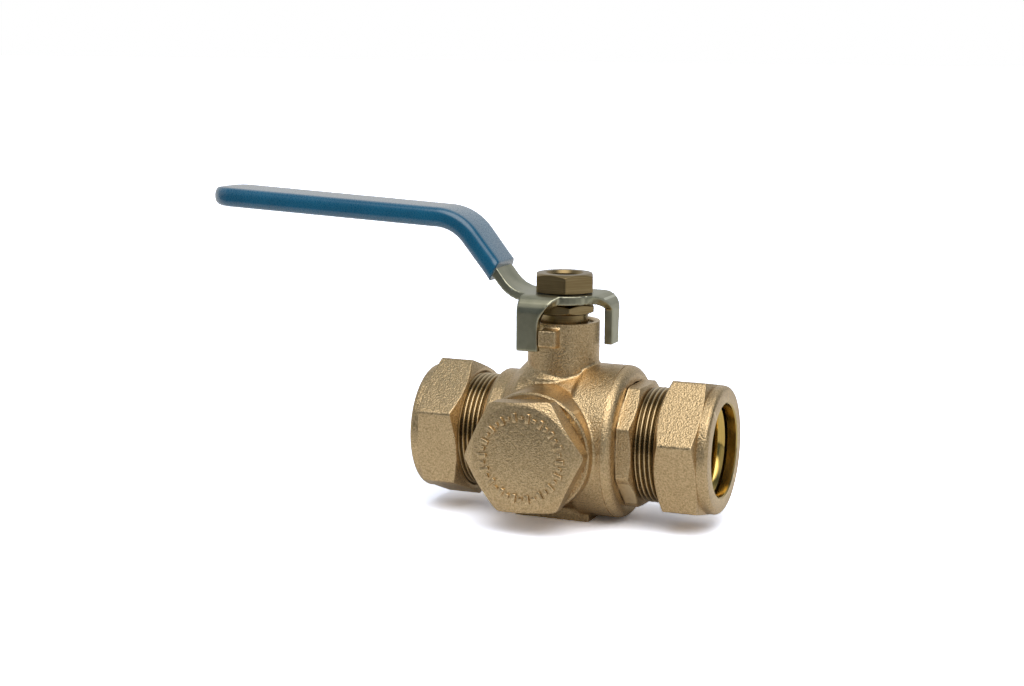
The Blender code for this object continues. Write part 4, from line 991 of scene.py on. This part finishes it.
def sleeve(material):
    """Dipped grip: a rounded section along the lever, a soft lip at its mouth and a full round tip."""
    reach = -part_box("lever_grip")[0][0]
    elbow = ARM_START + ARM_RISE / math.tan(ARM_ANGLE)
    tip_z = PLATE_MIDDLE + ARM_RISE + (reach - elbow) * math.tan(GRIP_ANGLE)
    points = [
        (-6 * MM, PLATE_MIDDLE),
        (-ARM_START, PLATE_MIDDLE),
        (-elbow, PLATE_MIDDLE + ARM_RISE),
        (-reach, tip_z),
    ]
    path = closely(bent_path(points, (LOWER_BEND, UPPER_BEND), 24), 0.8 * MM)
    path = [(p, d) for p, d in path if SLEEVE_MOUTH <= -p[0] <= reach - SLEEVE_TIP_ROUND]
    corner = 2.3 * MM

    def section(place, heading, wide, thick, slant=0.0):
        normal = Vector((-heading[1], heading[0]))
        ring = []
        radius = min(corner, thick * 0.98, wide * 0.98)
        for quarter, (sy, sn) in enumerate(((1, 1), (-1, 1), (-1, -1), (1, -1))):
            for k in range(9):
                a = math.pi / 2 * (quarter + k / 8)
                y = sy * (wide - radius) + radius * math.cos(a)
                crown = 0.12 * MM * (1 - (y / wide) ** 2)
                n = sn * (thick - radius + crown) + radius * math.sin(a)
                spot = place + normal * n + heading * slant * (1 - n / SLEEVE_HALF_THICK) / 2
                ring.append((spot[0], y, spot[1] + CENTRE_Z))
            if quarter in (0, 2):
                for k in range(1, 12):
                    y = sy * (wide - radius) * (1 - 2 * k / 12)
                    crown = 0.12 * MM * (1 - (y / wide) ** 2)
                    n = sn * (thick + crown)
                    spot = place + normal * n + heading * slant * (1 - n / SLEEVE_HALF_THICK) / 2
                    ring.append((spot[0], y, spot[1] + CENTRE_Z))
        return ring

    rings = []
    first, heading = path[0]
    lip = 0.55 * MM
    wide = half_width(-first[0]) + SLEEVE_SIDE
    for k in range(5):
        a = math.pi / 2 * k / 5
        ease = lip * (1 - math.sin(a))
        back = first - heading * lip * math.cos(a) + heading * lip
        rings.append(section(back, heading, wide - ease, SLEEVE_HALF_THICK - ease, MOUTH_SLANT))
    for place, heading in path[1:]:
        slant = MOUTH_SLANT * max(0.0, 1 - (place - first).length / (3 * MOUTH_SLANT))
        rings.append(section(place, heading, half_width(-place[0]) + SLEEVE_SIDE, SLEEVE_HALF_THICK, slant))
    last, heading = path[-1]
    wide = half_width(-last[0]) + SLEEVE_SIDE
    for k in range(1, 15):
        a = math.pi / 2 * k / 15
        place = last + heading * SLEEVE_TIP_ROUND * math.sin(a)
        narrow = wide - SLEEVE_TIP_ROUND * (1 - math.cos(a))
        thin = SLEEVE_HALF_THICK - 1.9 * MM * (1 - math.cos(a)) ** 1.5
        rings.append(section(place, heading, narrow, thin))
    end = last + heading * (SLEEVE_TIP_ROUND - 0.02 * MM)
    wide_end = wide - SLEEVE_TIP_ROUND
    rings.append(section(end + heading * 0.02 * MM, heading, wide_end * 0.96, 0.9 * MM))
    return through_rings("sleeve", rings, material, "flat", sharp=60)


# ---------------------------------------------------------------- build


def main():
    brass = forged_brass()
    round_x = turned_brass("turned_brass_x", "X")
    polished = turned_brass("polished_bore", "X", (0.80, 0.58, 0.20), (0.58, 0.38, 0.09), (0.08, 0.2))
    round_z = turned_brass("turned_brass_z", "Z", (0.38, 0.29, 0.15), (0.26, 0.18, 0.08), (0.22, 0.38))
    steel = zinc_steel()
    vinyl = dipped_vinyl()
    white = plain_finish(
        "white_ptfe", 0.0, (0.80, 0.80, 0.77), (0.90, 0.90, 0.88), (0.4, 0.55), 900.0, 0.03 * MM
    )
    chrome = plain_finish(
        "hard_chrome", 1.0, (0.74, 0.75, 0.78), (0.84, 0.85, 0.87), (0.06, 0.16), 1500.0, 0.01 * MM
    )
    rubber = plain_finish(
        "nitrile", 0.0, (0.015, 0.015, 0.016), (0.04, 0.04, 0.042), (0.5, 0.7), 1400.0, 0.04 * MM
    )
    wire_mesh = plain_finish(
        "stainless", 1.0, (0.52, 0.52, 0.51), (0.68, 0.68, 0.67), (0.2, 0.4), 2200.0, 0.04 * MM, 0.6
    )

    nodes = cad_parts
    for name in ("body_seal", "left_seat", "right_seat", "stem_packing", "stem_washer"):
        nodes[name].data.materials[0] = white
    for name in ("filter_ring", "filter_screen", "filter_clip"):
        nodes[name].data.materials[0] = wire_mesh
    for name in ("left_olive", "right_olive"):
        nodes[name].data.materials[0] = polished
    nodes["ball"].data.materials[0] = chrome
    nodes["cap_seal"].data.materials[0] = rubber
    nodes["stem"].data.materials[0] = round_z

    nut_brass = forged_brass("forged_nut", bored=True)
    threads = thread_brass_painted_shade()
    cut = thread_tree()
    left_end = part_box("valve_body")[0][0]
    right_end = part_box("end_adapter")[1][0]
    right_root = BODY_END + 5.0 * MM
    left_thread = {"Start": left_end + 0.1 * MM, "Length": -COLLAR_X - 0.3 * MM - left_end}
    right_thread = {"Start": right_root - 0.1 * MM, "Length": right_end - right_root}

    made = [
        (casting(brass), "body", "forged_brass", "valve_body"),
        (outward(run_tree("left_thread", cut, left_thread, threads)), "body", "turned_brass", None),
        (adapter(nut_brass), "body", "forged_brass", "end_adapter"),
        (outward(run_tree("right_thread", cut, right_thread, threads)), "body", "turned_brass", None),
        (gland(round_z), "body", "turned_brass", "gland_nut"),
        (
            compression_nut("left_hex", "left_nut", -1, LEFT_NUT_TURN, nut_brass),
            "left_nut", "forged_brass", "left_nut",
        ),
        (
            compression_nut("right_hex", "right_nut", 1, RIGHT_NUT_TURN, nut_brass),
            "right_nut", "forged_brass", "right_nut",
        ),
        (olive("left_ring", "left_olive", -1, polished), "left_olive", "turned_brass", "left_olive"),
        (olive("right_ring", "right_olive", 1, polished), "right_olive", "turned_brass", "right_olive"),
        (cap(brass), "filter_cap", "forged_brass", "filter_cap"),
        (lever_steel(steel), "lever", "zinc_steel", "lever"),
        (sleeve(vinyl), "lever", "blue_pvc", "lever_grip"),
        (top_nut(round_z), "lever", "turned_brass", "lever_nut"),
    ]
    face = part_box("filter_cap")[0][1]
    ring = {"Count": 36, "Ring radius": 12.3 * MM, "Face": face, "Spread": 0.2, "Short": 0.55}
    ring["Size"] = (1.6 * MM, 0.6 * MM, 0.75 * MM)
    dashes = outward(run_tree("cap_dashes", dash_tree(), ring, forged_brass("rubbed_brass", blast=0.12)))
    made.append((dashes, "filter_cap", "forged_brass", None))
    for obj, body, slot, stands_for in made:
        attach(obj, body)
        if stands_for:
            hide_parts(stands_for)


def floor():
    """Plain pale floor, a little lifted for the eye so that it stays white to the horizon."""
    material, tree, shader = finish("pale_floor", 0.0)
    spots = noise(tree, 40.0)
    seen = ramp(tree, spots, [(0.3, (2.06, 2.16, 2.42)), (0.7, (2.10, 2.20, 2.48))])
    place = node(tree, "ShaderNodeTexCoord")
    split = node(tree, "ShaderNodeSeparateXYZ")
    tree.links.new(place.outputs["Object"], split.inputs[0])
    # For every ray but the camera's, the floor goes from 0.82 down to 0.08 towards the front, so it is darker
    # ahead of the valve.
    ahead = node(tree, "ShaderNodeMapRange", {"From Min": -0.32, "From Max": -0.10})
    tree.links.new(split.outputs["Y"], ahead.inputs["Value"])
    other_rays_tone = ramp(tree, ahead.outputs["Result"], [(0.0, (0.08, 0.08, 0.08)), (1.0, (0.82, 0.82, 0.82))])
    path = node(tree, "ShaderNodeLightPath")
    tone = mixed(tree, path.outputs["Is Camera Ray"], other_rays_tone, seen)
    wire(tree, shader, tone, levels(tree, spots, 0.7, 0.9), bump(tree, noise(tree, 900.0), 0.02 * MM, 0.1))
    shader.inputs["Specular IOR Level"].default_value = 0.0
    bm = bmesh.new()
    bmesh.ops.create_grid(bm, x_segments=1, y_segments=1, size=12)
    mesh = bpy.data.meshes.new("floor")
    bm.to_mesh(mesh)
    bm.free()
    mesh.materials.append(material)
    obj = bpy.data.objects.new("floor", mesh)
    bpy.context.scene.collection.objects.link(obj)


def glow(tree, direction, inner, outer, strength):
    """Light from a round patch of the room, full within one angle and gone beyond another."""
    place = node(tree, "ShaderNodeTexCoord")
    turn = node(tree, "ShaderNodeVectorMath", operation="DOT_PRODUCT")
    turn.inputs[1].default_value = Vector(direction).normalized()
    tree.links.new(place.outputs["Generated"], turn.inputs[0])
    spread = node(tree, "ShaderNodeMapRange", interpolation_type="SMOOTHSTEP")
    values = (math.cos(math.radians(outer)), math.cos(math.radians(inner)), 0.0, strength)
    for socket, value in zip(("From Min", "From Max", "To Min", "To Max"), values):
        spread.inputs[socket].default_value = value
    tree.links.new(turn.outputs["Value"], spread.inputs["Value"])
    return spread.outputs["Result"]


def studio():
    """One wide soft light above and ahead, a white wall behind, and a dim room around."""
    world = bpy.data.worlds.new("room")
    world.use_nodes = True
    tree = world.node_tree
    tree.nodes.clear()
    total = 0.0
    for patch in SOFT_LIGHTS:
        total = maths(tree, "ADD", glow(tree, *patch), total)
    out = tree.nodes.new("ShaderNodeOutputWorld")
    dim = node(tree, "ShaderNodeBackground", {"Color": (0.62, 0.80, 1.0, 1), "Strength": 1.35 * ROOM_LIGHT})
    lamps = node(tree, "ShaderNodeBackground", {"Color": (1.0, 0.975, 0.94, 1)})
    tree.links.new(total, lamps.inputs["Strength"])
    room = tree.nodes.new("ShaderNodeAddShader")
    tree.links.new(dim.outputs[0], room.inputs[0])
    tree.links.new(lamps.outputs[0], room.inputs[1])
    white = tree.nodes.new("ShaderNodeBackground")
    white.inputs["Color"].default_value = (1, 1, 1, 1)
    path = tree.nodes.new("ShaderNodeLightPath")
    mix = tree.nodes.new("ShaderNodeMixShader")
    tree.links.new(path.outputs["Is Camera Ray"], mix.inputs[0])
    tree.links.new(room.outputs[0], mix.inputs[1])
    tree.links.new(white.outputs[0], mix.inputs[2])
    tree.links.new(mix.outputs[0], out.inputs[0])
    bpy.context.scene.world = world


def camera():
    """Three-quarter view from the right and a little above."""
    data = bpy.data.cameras.new("camera")
    data.lens = LENS
    data.clip_start = 0.01
    obj = bpy.data.objects.new("camera", data)
    obj.location = CAMERA_PLACE
    obj.rotation_euler = [math.radians(turn) for turn in CAMERA_TURN]
    bpy.context.scene.collection.objects.link(obj)
    bpy.context.scene.camera = obj


bpy.context.scene.view_settings.view_transform = "Standard"
main()
floor()
studio()
camera()
